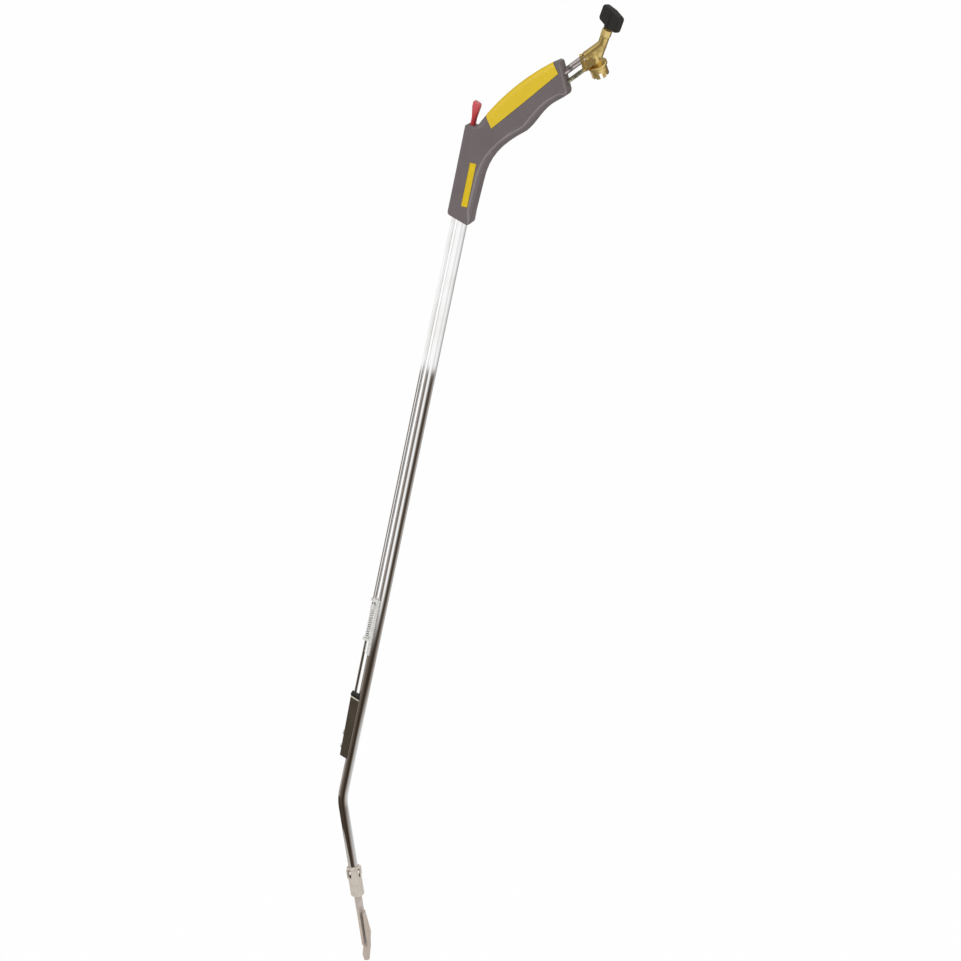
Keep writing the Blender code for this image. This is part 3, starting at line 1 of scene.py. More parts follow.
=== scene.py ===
# %% [markdown]
# # A propane torch, dressed for a white studio
#
# The solid model gives every piece of the torch its shape, its place and the way it moves. This
# lesson adds what a solid model lacks: finishes that look like moulded plastic, chrome, brass and
# burnt steel, a few small pieces such as a braze fillet and a finely wound spring, and a studio
# to look at it in.
#
# The first step loads the solids and keeps the size of their box.

# %% Load the solids
import json
import math

import bpy
from mathutils import Matrix, Vector


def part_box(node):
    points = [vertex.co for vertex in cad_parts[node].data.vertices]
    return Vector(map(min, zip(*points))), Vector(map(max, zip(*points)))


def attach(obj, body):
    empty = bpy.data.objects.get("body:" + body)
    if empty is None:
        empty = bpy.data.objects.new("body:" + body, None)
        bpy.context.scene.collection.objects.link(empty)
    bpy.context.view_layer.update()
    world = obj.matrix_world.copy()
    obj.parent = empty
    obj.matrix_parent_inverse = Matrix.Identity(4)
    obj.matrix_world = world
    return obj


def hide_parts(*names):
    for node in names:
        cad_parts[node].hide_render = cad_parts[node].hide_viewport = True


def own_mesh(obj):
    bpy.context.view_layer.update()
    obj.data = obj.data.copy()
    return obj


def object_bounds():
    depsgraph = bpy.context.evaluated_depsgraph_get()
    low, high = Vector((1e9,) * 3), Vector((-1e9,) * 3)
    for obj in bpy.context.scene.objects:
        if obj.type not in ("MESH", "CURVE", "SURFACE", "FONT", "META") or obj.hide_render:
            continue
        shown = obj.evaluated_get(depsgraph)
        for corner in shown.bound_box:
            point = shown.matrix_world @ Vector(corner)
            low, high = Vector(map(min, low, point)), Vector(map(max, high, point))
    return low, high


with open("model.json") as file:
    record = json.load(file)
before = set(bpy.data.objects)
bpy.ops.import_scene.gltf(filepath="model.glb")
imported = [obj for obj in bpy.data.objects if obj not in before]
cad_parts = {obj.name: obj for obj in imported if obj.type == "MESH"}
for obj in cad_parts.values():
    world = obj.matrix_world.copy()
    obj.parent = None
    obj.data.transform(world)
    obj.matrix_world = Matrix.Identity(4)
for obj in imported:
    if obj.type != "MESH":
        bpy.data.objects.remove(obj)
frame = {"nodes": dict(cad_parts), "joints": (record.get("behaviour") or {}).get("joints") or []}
nodes = frame["nodes"]
solid_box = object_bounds()
print(f"{len(nodes)} solids, {(solid_box[1] - solid_box[0]).z:.3f} m tall")

# %% [markdown]
# ## Sums with sockets
#
# A finish is easier to read as a sum than as a drawing of nodes. The class below wraps a socket,
# so that `1 - mask` or `0.4 + 0.1 * grain` adds the Math nodes by itself. Every other node comes
# from one method, which takes the node's type, its settings and what goes into its sockets.


# %% A socket that can be added and multiplied
class Wire:
    """A shader socket that can stand in a Python sum."""

    def __init__(self, finish, socket):
        self.finish = finish
        self.socket = socket

    def __add__(self, other):
        return self.finish.math("ADD", self, other)

    def __mul__(self, other):
        return self.finish.math("MULTIPLY", self, other)

    def __rsub__(self, other):
        return self.finish.math("SUBTRACT", other, self)

    __radd__ = __add__
    __rmul__ = __mul__


class Finish:
    """A material or the sky, and the one way to add nodes to it."""

    def __init__(self, name, sky=False):
        self.holder = (bpy.data.worlds if sky else bpy.data.materials).new(name)
        self.holder.use_nodes = True
        self.tree = self.holder.node_tree
        self.shader = self.tree.nodes["Background" if sky else "Principled BSDF"]

    def feed(self, socket, value):
        """Link a wire to a socket, or set the socket to a plain value."""
        if isinstance(value, Wire):
            self.tree.links.new(value.socket, socket)
        else:
            socket.default_value = value

    def node(self, kind, settings, sockets, output=0):
        """Add a node; the settings come first, because some of them change its sockets."""
        made = self.tree.nodes.new("ShaderNode" + kind)
        for name, value in settings.items():
            if name == "stops":
                self.set_stops(made.color_ramp, value)
            else:
                setattr(made, name, value)
        for key, value in sockets.items():
            self.feed(made.inputs[key], value)
        return Wire(self, made.outputs[output])

    @staticmethod
    def set_stops(ramp, stops):
        """Give a ramp its stops, each a place from 0 to 1 and a colour."""
        while len(ramp.elements) < len(stops):
            ramp.elements.new(1.0)
        for element, (place, colour) in zip(ramp.elements, stops):
            element.position = place
            element.color = (*colour, 1.0)

    def math(self, operation, first, second):
        """One step of a sum."""
        return self.node("Math", {"operation": operation}, {0: first, 1: second})

    def coat(self, **sockets):
        """Set the sockets of the shader: Base_Color stands for Base Color."""
        for name, value in sockets.items():
            self.feed(self.shader.inputs[name.replace("_", " ")], value)
        return self.holder

    def show(self, surface):
        """Show another surface in place of the shader's."""
        self.feed(self.tree.nodes["Material Output"].inputs["Surface"], surface)
        return self.holder


print("sums ready")

# %% [markdown]
# ## A few words that every finish uses
#
# Real surfaces are never one colour. `grain` is a noise whose spots have a size in metres, `tint`
# goes from one colour to another, `rise` turns a slow change into a soft edge, `worn` finds the
# edges that hands and tools rub, `add_up` sums a base and shares of several masks, and `relief`
# turns a grain into tiny bumps. The noise is read at the piece's own place in the model, so it
# moves with a piece that slides or turns.

# %% Grain, tint, rise, worn edges and relief
EVEN = (1.0, 1.0, 1.0)
UPRIGHT = (0.0, 0.0, 1.0)
SOFT, PLAIN, BUSY, BUSIEST = 2.0, 3.0, 4.0, 5.0
EDGE_SAMPLES = 4
EDGE_LEAN = (0.02, 0.30)
MIX_AMOUNT, MIX_LOW, MIX_HIGH, MIX_COLOUR = 0, 6, 7, 2


def spot(finish, stretch, axis):
    """Place on the piece in metres, turned so that Z lies along an axis, then stretched."""
    point = finish.node("TexCoord", {}, {}, "Object")
    turn = Vector(axis).rotation_difference(Vector(UPRIGHT)).to_euler()
    turned = finish.node("Mapping", {"vector_type": "POINT"},
                         {"Vector": point, "Rotation": tuple(turn)})
    return finish.node("VectorMath", {"operation": "MULTIPLY"}, {0: turned, 1: stretch})


def grain(finish, size, stretch=EVEN, axis=UPRIGHT, detail=PLAIN):
    """Noise from 0 to 1 with spots of about that size in metres."""
    place = spot(finish, stretch, axis)
    return finish.node("TexNoise", {}, {"Vector": place, "Scale": 1.0 / size, "Detail": detail})


def rise(finish, value, low, high):
    """Soft step from 0 at low to 1 at high."""
    return finish.node("MapRange", {"interpolation_type": "SMOOTHSTEP"},
                       {"Value": value, "From Min": low, "From Max": high})


def tint(finish, low, high, amount):
    """Colour that goes from low to high with the amount."""
    ends = [colour if isinstance(colour, Wire) else (*colour, 1.0) for colour in (low, high)]
    return finish.node("Mix", {"data_type": "RGBA"},
                       {MIX_AMOUNT: amount, MIX_LOW: ends[0], MIX_HIGH: ends[1]}, MIX_COLOUR)


def add_up(shares, *masks):
    """The first share as it is, plus each further share of its mask."""
    total = shares[0]
    for share, mask in zip(shares[1:], masks):
        total = total + share * mask
    return total


def along(finish, first, second):
    """How far a place or a direction goes along another direction."""
    return finish.node("VectorMath", {"operation": "DOT_PRODUCT"}, {0: first, 1: second}, "Value")


def worn(finish, radius):
    """1 along edges and 0 on open ground: how far a rounded normal leans from the true one."""
    rounded = finish.node("Bevel", {"samples": EDGE_SAMPLES}, {"Radius": radius})
    true = finish.node("NewGeometry", {}, {}, "Normal")
    return rise(finish, 1.0 - along(finish, rounded, true), *EDGE_LEAN)


def relief(finish, height, depth):
    """Normal of a surface with bumps of that depth in metres."""
    return finish.node("Bump", {}, {"Strength": 1.0, "Distance": depth, "Height": height})


print("grain, tint, rise, worn and relief ready")

# %% [markdown]
# ## The camera
#
# The camera stands where the photographer stood: about two metres away, a little to the right,
# looking down by seventeen degrees, and rolled so that the lance leans to the right. The lens is
# long, as for a catalogue picture. The camera's axes are worked out from those three angles.

# %% Camera
CAMERA_SPOT = Vector((0.31525, -2.0197, 0.26681))
CAMERA_TURN = math.radians(8.0)
CAMERA_FALL = math.radians(17.19)
CAMERA_ROLL = math.radians(12.35)
LENS_LENGTH = 82.414
FILM_WIDTH = 36.0

back = Vector((math.sin(CAMERA_TURN) * math.cos(CAMERA_FALL),
               -math.cos(CAMERA_TURN) * math.cos(CAMERA_FALL), math.sin(CAMERA_FALL)))
level = Vector((math.cos(CAMERA_TURN), math.sin(CAMERA_TURN), 0.0))
upright = back.cross(level)
side = level * math.cos(CAMERA_ROLL) + upright * math.sin(CAMERA_ROLL)
top = upright * math.cos(CAMERA_ROLL) - level * math.sin(CAMERA_ROLL)

lens = bpy.data.cameras.new("camera")
lens.lens = LENS_LENGTH
lens.sensor_width = FILM_WIDTH
camera = bpy.data.objects.new("camera", lens)
camera_axes = Matrix((side, top, back)).transposed().to_4x4()
camera.matrix_world = Matrix.Translation(CAMERA_SPOT) @ camera_axes
bpy.context.scene.collection.objects.link(camera)
bpy.context.scene.camera = camera
print("camera", [round(value, 3) for value in CAMERA_SPOT])

# %% [markdown]
# ## The studio
#
# The picture has a plain white ground. A pale floor lies under the burner. To the camera, to
# polished metal and to glass it glows white, as a lit paper sweep does, and it keeps a faint
# share of the torch's shadow. The sky does the same, and lights the torch much more softly than
# it looks. One large soft lamp stands up and to the left, a weaker one fills from the right, and
# a third lights the back.

# %% Floor, sky and lamps
WHITE = (1.0, 1.0, 1.0, 1.0)
FLOOR_SIZE = 80.0
FLOOR_PALE = (0.86, 0.86, 0.86, 1.0)
FLOOR_ROUGH = 0.9
FLOOR_GLOW = 0.98
SKY_LIGHT = 0.50
# Place and size in metres, and power in watts.
LAMPS = {
    "key_lamp": ((-1.5, -1.9, 1.5), 1.4, 26.0),
    "fill_lamp": ((1.9, -1.2, 0.5), 1.0, 7.0),
    "back_lamp": ((0.6, 2.2, 1.4), 1.2, 10.0),
}


def seen(finish):
    """1 for the camera, for mirrors and for glass, and 0 for rays that only carry light."""
    eyes = [finish.node("LightPath", {}, {}, name)
            for name in ("Is Camera Ray", "Is Glossy Ray", "Is Transmission Ray")]
    return finish.math("MINIMUM", eyes[0] + eyes[1] + eyes[2], 1.0)


def paper_floor():
    """Pale paper that looks white and still takes a faint shadow."""
    finish = Finish("paper_floor")
    finish.coat(Base_Color=FLOOR_PALE, Roughness=FLOOR_ROUGH)
    glow = finish.node("Emission", {}, {"Color": WHITE})
    paper = Wire(finish, finish.shader.outputs[0])
    share = seen(finish) * FLOOR_GLOW
    return finish.show(finish.node("MixShader", {}, {0: share, 1: paper, 2: glow}))


def white_sky():
    """World that looks white and lights softly."""
    sky = Finish("white_sky", sky=True)
    return sky.coat(Color=WHITE, Strength=SKY_LIGHT + (1.0 - SKY_LIGHT) * seen(sky))


def lamp(name, place, size, power, target):
    """Square soft lamp that looks at a point."""
    light = bpy.data.lights.new(name, "AREA")
    light.size = size
    light.energy = power
    stand = bpy.data.objects.new(name, light)
    stand.location = place
    stand.rotation_euler = (target - Vector(place)).to_track_quat("-Z", "Y").to_euler()
    bpy.context.scene.collection.objects.link(stand)


half = FLOOR_SIZE / 2
ground_level = solid_box[0].z
sheet = bpy.data.meshes.new("floor")
sheet.from_pydata([(-half, -half, ground_level), (half, -half, ground_level),
                   (half, half, ground_level), (-half, half, ground_level)], [], [(0, 1, 2, 3)])
sheet.materials.append(paper_floor())
floor = bpy.data.objects.new("floor", sheet)
bpy.context.scene.collection.objects.link(floor)
bpy.context.scene.world = white_sky()
middle = (solid_box[0] + solid_box[1]) / 2
for name, (place, size, power) in LAMPS.items():
    lamp(name, place, size, power, middle)
bpy.context.scene.view_settings.view_transform = "Standard"
print("floor at", round(ground_level, 4))

# %% [markdown]
# ## Cards for the bright metal
#
# Polished metal has hardly any colour of its own: it shows the room. In an all-white room it
# would vanish, so a photographer hangs white and dark cards round it, and their edges draw the
# tube. Here the cards are one round screen about the lance, and only mirror rays see it. Five
# rows of greys, each a list of directions from the camera in degrees and of brightness, say what
# hangs at the height of the grip, just below it, along the upper and the lower lance, and at the
# foot. Below the grip the cards are almost white. The darkest cards are brown, as warm cardboard
# is. A pale and a dark mat lie under the bent leg, whose underside mirrors the ground.

# %% Hang the cards
LANCE_X = -0.037952
CARD_RADIUS = 0.30
CARD_SIDES = 64
CARD_HEAD = 0.45
CARD_HEIGHTS = (-0.168, -0.346, -0.646, -0.760)
CARD_FADES = (0.012, 0.006, 0.045, 0.050)
GRIP_CARDS = ((-180, 0.50), (-150, 0.14), (-120, 0.45), (-90, 0.75), (-60, 0.55), (-42, 0.24),
              (-20, 0.20), (5, 0.24), (24, 0.60), (42, 1.00), (78, 1.00), (95, 0.45), (112, 0.18),
              (145, 0.14), (180, 0.50))
WHITE_CARDS = ((-180, 0.80), (-120, 0.95), (-60, 1.00), (-12, 1.00), (4, 0.82), (24, 0.80),
               (42, 0.96), (56, 0.94), (74, 0.80), (104, 0.58), (124, 0.40), (150, 0.40),
               (180, 0.80))
UPPER_CARDS = ((-180, 0.60), (-150, 0.10), (-128, 0.45), (-106, 0.34), (-78, 0.15), (-60, 0.20),
               (-47, 0.60), (-30, 1.00), (-14, 0.95), (0, 0.62), (14, 0.26), (28, 0.10),
               (47, 0.045), (64, 0.07), (82, 0.16), (106, 0.36), (130, 0.55), (152, 0.10),
               (180, 0.60))
LOWER_CARDS = ((-180, 0.70), (-152, 0.20), (-130, 0.45), (-106, 0.36), (-74, 0.17), (-47, 0.13),
               (-23, 0.080), (0, 0.033), (23, 0.036), (44, 0.050), (58, 0.10), (74, 0.19),
               (106, 0.36), (130, 0.50), (152, 0.30), (180, 0.70))
FOOT_CARDS = ((-180, 0.70), (-152, 0.20), (-130, 0.45), (-106, 0.36), (-74, 0.16), (-47, 0.11),
              (-23, 0.070), (0, 0.033), (20, 0.040), (34, 0.11), (48, 0.24), (62, 0.44), (80, 0.52),
              (106, 0.52), (130, 0.72), (152, 0.80), (180, 0.70))
CARD_BROWN = (1.0, 0.72, 0.50)
CARD_PALE = 0.55
MAT_SPAN = (-165.0, 20.0)
MAT_RADII = (0.010, 0.147, 0.306)
MAT_STEPS = 24
MAT_LIFT = 0.001
MAT_PALE = (0.46, 0.43, 0.39)
MAT_BROWN = (0.055, 0.042, 0.030)


def card_stops(cards):
    """Ramp stops of a row of cards; the darker a card, the browner it is."""
    stops = []
    for degrees, light in cards:
        pale = min(light / CARD_PALE, 1.0)
        colour = tuple(light * (warm + (1.0 - warm) * pale) for warm in CARD_BROWN)
        stops.append(((degrees + 180.0) / 360.0, colour))
    return stops


def card_paper():
    """Glow that changes with the direction from the camera and with the height."""
    finish = Finish("card_paper")
    place = finish.node("TexCoord", {}, {}, "Object")
    parts = [finish.node("SeparateXYZ", {}, {0: place}, name) for name in ("X", "Y", "Z")]
    turn = finish.math("ARCTAN2", parts[0], parts[1] * -1.0) * (1.0 / math.tau) + 0.5
    rows = [finish.node("ValToRGB", {"stops": card_stops(cards)}, {0: turn})
            for cards in (GRIP_CARDS, WHITE_CARDS, UPPER_CARDS, LOWER_CARDS, FOOT_CARDS)]
    light = rows[0]
    for row, height, fade in zip(rows[1:], CARD_HEIGHTS, CARD_FADES):
        light = tint(finish, row, light, rise(finish, parts[2], height - fade, height + fade))
    return finish.show(finish.node("Emission", {}, {"Color": light}))


def mirror_only(name, corners, faces, material):
    """Stage piece about the lance that only mirror rays see."""
    mesh = bpy.data.meshes.new(name)
    mesh.from_pydata(corners, [], faces)
    mesh.materials.append(material)
    piece = bpy.data.objects.new(name, mesh)
    piece.location.x = LANCE_X
    piece.rotation_euler.z = CAMERA_TURN
    piece.visible_camera = False
    piece.visible_diffuse = False
    piece.visible_transmission = False
    piece.visible_shadow = False
    bpy.context.scene.collection.objects.link(piece)


def card_spot(degrees, radius, height):
    """Point of the cards at a direction from the camera."""
    angle = math.radians(degrees)
    return radius * math.sin(angle), -radius * math.cos(angle), height


def hang_cards(foot, head):
    """Round screen of cards about the lance."""
    corners = []
    for i in range(CARD_SIDES):
        corners += [card_spot(360.0 * i / CARD_SIDES, CARD_RADIUS, z) for z in (foot, head)]
    count = len(corners)
    faces = [(i, (i + 2) % count, (i + 3) % count, i + 1) for i in range(0, count, 2)]
    mirror_only("cards", corners, faces, card_paper())


def lay_mat(name, foot, radii, colour):
    """Mat on the ground round the foot, for the underside of the bent leg."""
    start, end = MAT_SPAN
    turns = [start + (end - start) * i / MAT_STEPS for i in range(MAT_STEPS + 1)]
    corners = [card_spot(turn, radius, foot) for turn in turns for radius in radii]
    faces = [(i, i + 2, i + 3, i + 1) for i in range(0, 2 * MAT_STEPS, 2)]
    finish = Finish(name)
    glow = finish.node("Emission", {}, {"Color": (*colour, 1.0)})
    mirror_only(name, corners, faces, finish.show(glow))


card_foot = ground_level + MAT_LIFT
hang_cards(card_foot, CARD_HEAD)
lay_mat("pale_mat", card_foot, MAT_RADII[:2], MAT_PALE)
lay_mat("dark_mat", card_foot, MAT_RADII[1:], MAT_BROWN)
print("cards at", CARD_RADIUS, "m")

# %% [markdown]
# ## Smooth solids
#
# The solids arrive as loose triangles. Three modifiers make them look like moulded and turned
# pieces without touching the solids themselves: one joins the triangles, one parts the surface
# again where two faces meet at a real edge, and one lets large faces decide how the light falls,
# so that flat faces look flat and round ones round.

# %% Join, part and weigh
REAL_EDGE = math.radians(33.0)
JOIN = 2e-6


def smooth(piece):
    """Shade a solid smoothly between its real edges."""
    normals = piece.data.attributes.get("custom_normal")
    if normals:
        piece.data.attributes.remove(normals)
    piece.data.shade_smooth()
    piece.modifiers.new("join", "WELD").merge_threshold = JOIN
    part = piece.modifiers.new("part", "EDGE_SPLIT")
    part.split_angle = REAL_EDGE
    part.use_edge_sharp = False
    weigh = piece.modifiers.new("weigh", "WEIGHTED_NORMAL")
    weigh.mode = "FACE_AREA_WITH_ANGLE"


for solid in nodes.values():
    smooth(solid)
print("smoothed", len(nodes))

# %% [markdown]
# ## Handle plastic
#
# The handle is two moulded halves in a warm grey. The mould leaves a fine matt grain, the colour
# clouds a little where the melt flowed, and the rims shine where a hand rubs them. A painted
# highlight, a lighter line, follows the crease between the flat side and the slanted rim of the
# underside; the direction in which the surface faces tells where that is.

# %% Handle plastic
GREY_DEEP = (0.150, 0.122, 0.125)
GREY_PALE = (0.205, 0.170, 0.174)
GREY_RUBBED = (0.26, 0.225, 0.228)
# Colour of the painted highlight along the crease of the handle's underside.
GREY_CREASE_HIGHLIGHT = (0.35, 0.315, 0.305)
GREY_CLOUD, GREY_PORE, GREY_PORE_DEPTH = 0.020, 0.0006, 0.00005
GREY_MIX = (0.0, 0.6, 0.4)
GREY_ROUGH = (0.36, 0.14, 0.06, -0.08)
GREY_EDGE, GREY_RUB = 0.0010, 0.6
UNDERSIDE = (0.90, 0.0, -0.45)
FLATTEST = 1e-6
CREASE_FROM, CREASE_TO = (0.82, 0.90), (0.985, 0.9998)
CREASE_UNDER, CREASE_HIGHLIGHT_SHARE = (0.50, 0.75), 0.75


def crease_highlight(finish):
    """Painted highlight mask: 1 where the flat side turns into its slanted underside, 0 on both."""
    lean = finish.node("TexCoord", {}, {}, "Normal")
    flat = finish.math("ABSOLUTE", finish.node("SeparateXYZ", {}, {0: lean}, "Y"), 0.0)
    steep = finish.math("SQRT", finish.math("MAXIMUM", 1.0 - flat * flat, FLATTEST), 0.0)
    under = finish.math("DIVIDE", along(finish, lean, UNDERSIDE), steep)
    line = rise(finish, flat, *CREASE_FROM) * (1.0 - rise(finish, flat, *CREASE_TO))
    return line * rise(finish, under, *CREASE_UNDER)


def handle_plastic():
    """Moulded grey with a matt grain, a painted highlight on the underside crease and rubbed rims.
    """
    finish = Finish("handle_plastic")
    cloud = grain(finish, GREY_CLOUD)
    pores = grain(finish, GREY_PORE, detail=SOFT)
    rub = worn(finish, GREY_EDGE) * GREY_RUB
    body = tint(finish, GREY_DEEP, GREY_PALE, add_up(GREY_MIX, cloud, pores))
    rims = tint(finish, body, GREY_RUBBED, rub)
    # The base colour carries a painted highlight along the underside crease.
    return finish.coat(Base_Color=tint(finish, rims, GREY_CREASE_HIGHLIGHT, crease_highlight(finish) * CREASE_HIGHLIGHT_SHARE),
                       Roughness=add_up(GREY_ROUGH, pores, cloud, rub),
                       Normal=relief(finish, pores, GREY_PORE_DEPTH))


# %% [markdown]
# ## Yellow inlay and label plate
#
# The grip's top is a softer yellow inlay. Its skin is finer than the grey and takes a little
# grime. The plate on the handle's side is the same yellow, but smooth and bare, with hair-fine
# scratches along it.

# %% Yellow inlay and label plate
YELLOW = (0.90, 0.640, 0.014)
YELLOW_DEEP = (0.83, 0.575, 0.010)
INLAY_CLOUD, INLAY_SKIN, INLAY_SKIN_DEPTH = 0.016, 0.00045, 0.00005
INLAY_MIX = (0.0, 0.7, 0.3)
INLAY_ROUGH = (0.42, 0.16)
GRIME = (0.42, 0.29, 0.05)
GRIME_SIZE, GRIME_EDGE, GRIME_SHARE = 0.007, (0.62, 0.80), 0.16
LABEL_CLOUD = 0.012
LABEL_ROUGH = (0.26, 0.22)
SCRATCH_SIZE, SCRATCH_DEPTH = 0.0005, 0.00001
SCRATCH_STRETCH, SCRATCH_EDGE = (1.0, 1.0, 0.03), (0.60, 0.72)


def yellow_inlay():
    """Soft yellow with a fine skin."""
    finish = Finish("yellow_inlay")
    cloud = grain(finish, INLAY_CLOUD)
    skin = grain(finish, INLAY_SKIN, detail=SOFT)
    grime = rise(finish, grain(finish, GRIME_SIZE, detail=BUSIEST), *GRIME_EDGE) * GRIME_SHARE
    body = tint(finish, YELLOW_DEEP, YELLOW, add_up(INLAY_MIX, cloud, skin))
    return finish.coat(Base_Color=tint(finish, body, GRIME, grime),
                       Roughness=add_up(INLAY_ROUGH, skin),
                       Normal=relief(finish, skin, INLAY_SKIN_DEPTH))


def bare_label():
    """Smooth yellow plate with fine scratches along it."""
    finish = Finish("bare_label")
    cloud = grain(finish, LABEL_CLOUD)
    scratch = rise(finish, grain(finish, SCRATCH_SIZE, SCRATCH_STRETCH), *SCRATCH_EDGE)
    return finish.coat(Base_Color=tint(finish, YELLOW_DEEP, YELLOW, cloud),
                       Roughness=add_up(LABEL_ROUGH, scratch),
                       Normal=relief(finish, scratch, SCRATCH_DEPTH))


# %% [markdown]
# ## Red button
#
# The igniter's button is glossy red plastic. A painted highlight makes its top paler, and its
# edges are a shade lighter too, also a painted highlight.

# %% Red button
RED = (0.62, 0.030, 0.040)
# Pale red of the painted highlight on the top and on the edges.
RED_HIGHLIGHT = (0.80, 0.16, 0.18)
RED_FLOW, RED_PORE, RED_PORE_DEPTH = 0.006, 0.0005, 0.00002
RED_MIX = (0.0, 0.2, 0.6)
RED_ROUGH = (0.24, 0.10)
RED_EDGE, RED_EDGE_HIGHLIGHT_SHARE = 0.0008, 0.5
BUTTON_HIGHLIGHT_SPAN = (-0.026, -0.010)


def red_button():
    """Glossy red with a painted highlight: paler towards the top and on its edges."""
    finish = Finish("red_button")
    flow = grain(finish, RED_FLOW)
    pores = grain(finish, RED_PORE)
    place = finish.node("TexCoord", {}, {}, "Object")
    # Painted highlight: paler towards the top of the button.
    top_highlight = rise(finish, finish.node("SeparateXYZ", {}, {0: place}, "Z"), *BUTTON_HIGHLIGHT_SPAN)
    body = tint(finish, RED, RED_HIGHLIGHT, add_up(RED_MIX, flow, top_highlight))
    # Painted highlight on the button's edges.
    edges = worn(finish, RED_EDGE) * RED_EDGE_HIGHLIGHT_SHARE
    return finish.coat(Base_Color=tint(finish, body, RED_HIGHLIGHT, edges),
                       Roughness=add_up(RED_ROUGH, pores),
                       Normal=relief(finish, pores, RED_PORE_DEPTH))


# %% [markdown]
# ## Chrome
#
# The lance, the rods and the neck are drawn steel with a bright plate. Drawing leaves long faint
# lines along a tube, and fingers leave a haze that dulls it in patches. The two bars of the neck
# have a duller plate, tinted grey and olive with dark marks; the tints and the marks are a painted
# reflection. Their lines follow the neck, so that function takes an axis.

# %% Chrome
CHROME = (0.95, 0.95, 0.95)
CHROME_HAZE = (0.86, 0.85, 0.83)
CHROME_ROUGH = (0.055, 0.05, 0.06)
DRAWN_LINE = 0.0007
DRAWN_STRETCH, DRAWN_DEPTH = (1.0, 1.0, 0.012), 0.000004
HAZE_SIZE, HAZE_EDGE = 0.035, (0.45, 0.75)
# Grey and olive tints and dark marks of the neck's bars: painted reflection.
NECK_REFLECTION_GREY = (0.58, 0.53, 0.53)
NECK_DARK_REFLECTION = (0.13, 0.115, 0.11)
STAY_REFLECTION_OLIVE = (0.46, 0.46, 0.33)
STAY_DARK_REFLECTION = (0.10, 0.10, 0.06)
DULL_ROUGH = (0.24, 0.10, 0.16)
DULL_STRETCH, DULL_DEPTH = (1.0, 1.0, 0.03), 0.000006
MARK_SIZE, MARK_EDGE, DARK_REFLECTION_SHARE = 0.007, (0.50, 0.62), 0.85


def chrome_plate():
    """Bright plate with drawn lines along the lance and a faint haze."""
    finish = Finish("chrome_plate")
    lines = grain(finish, DRAWN_LINE, DRAWN_STRETCH)
    haze = rise(finish, grain(finish, HAZE_SIZE, detail=BUSY), *HAZE_EDGE)
    return finish.coat(Base_Color=tint(finish, CHROME, CHROME_HAZE, haze),
                       Metallic=1.0,
                       Roughness=add_up(CHROME_ROUGH, lines, haze),
                       Normal=relief(finish, lines, DRAWN_DEPTH))


def dull_plate(name, axis, colour, dark_reflection):
    """Dull plate with drawn lines along an axis, with a tint and dark marks as a painted
    reflection.
    """
    finish = Finish(name)
    lines = grain(finish, DRAWN_LINE, DULL_STRETCH, axis)
    stain = rise(finish, grain(finish, MARK_SIZE, detail=BUSY), *MARK_EDGE)
    # Tint and random dark marks: painted reflection.
    return finish.coat(Base_Color=tint(finish, colour, dark_reflection, stain * DARK_REFLECTION_SHARE),
                       Metallic=1.0,
                       Roughness=add_up(DULL_ROUGH, lines, stain),
                       Normal=relief(finish, lines, DULL_DEPTH))


# %% [markdown]
# ## Plated and burnt steel
#
# The bracket, the spring and the screws are sheet and wire with a pale zinc plate, which is
# cloudy and a little yellow in places. The burner's collar has a satin, cream-grey plate. The
# burner's tube and its shroud are bare steel that has been hot: straw and brown colours follow
# the distance towards the flame, and painted shade darkens the fold between the tube and the
# shroud.

# %% Plated and burnt steel
ZINC = (0.93, 0.93, 0.92)
ZINC_YELLOW = (0.88, 0.86, 0.80)
ZINC_CLOUD, ZINC_EDGE, ZINC_SPECK = 0.006, (0.40, 0.70), 0.0005
ZINC_METAL, ZINC_ROUGH = 0.12, (0.30, 0.16, 0.08)
COLLAR_PALE = (0.82, 0.74, 0.65)
COLLAR_DULL = (0.73, 0.65, 0.56)
COLLAR_CLOUD, COLLAR_EDGE, COLLAR_SPECK = 0.005, (0.40, 0.75), 0.0006
COLLAR_METAL, COLLAR_ROUGH = 0.10, (0.42, 0.14)
SPECK_DEPTH = 0.00002
STEEL = (0.80, 0.71, 0.64)
STEEL_DULL = (0.66, 0.57, 0.51)
STEEL_CLOUD, STEEL_EDGE = 0.005, (0.35, 0.75)
STEEL_METAL, STEEL_ROUGH = 0.25, (0.34, 0.12, 0.10)
BRUSH_SIZE, BRUSH_STRETCH, BRUSH_DEPTH = 0.0005, (1.0, 1.0, 0.05), 0.00001
STRAW = (0.70, 0.585, 0.47)
BROWN_HEAT = (0.60, 0.50, 0.44)
# Colour of the painted shade in the fold between the tube and the shroud.
FOLD_SHADE = (0.13, 0.11, 0.095)
BEND_DROP, FRAME_DROP = 0.609, 0.122691
BURNER_TOP = Vector((0.0, 0.0, -BEND_DROP)) - Vector((-LANCE_X, 0.0, FRAME_DROP))
BURNER_LEAN = math.radians(20.0)
BURNER_AXIS = Vector((math.sin(BURNER_LEAN), 0.0, -math.cos(BURNER_LEAN)))
BURNER_SIDE = (math.cos(BURNER_LEAN), 0.0, math.sin(BURNER_LEAN))
HEAT_WAVER = 0.010
STRAW_FROM, STRAW_SHARE = (0.118, 0.150), 0.7
BROWN_FROM, BROWN_SHARE = (0.140, 0.172), 0.8
FOLD_NEAR, FOLD_FAR = (-0.0008, 0.0004), (0.0026, 0.0038)
FOLD_SHADE_FROM, FOLD_SHADE_TO, FOLD_SHADE_SHARE = (0.122, 0.136), (0.160, 0.172), 0.8


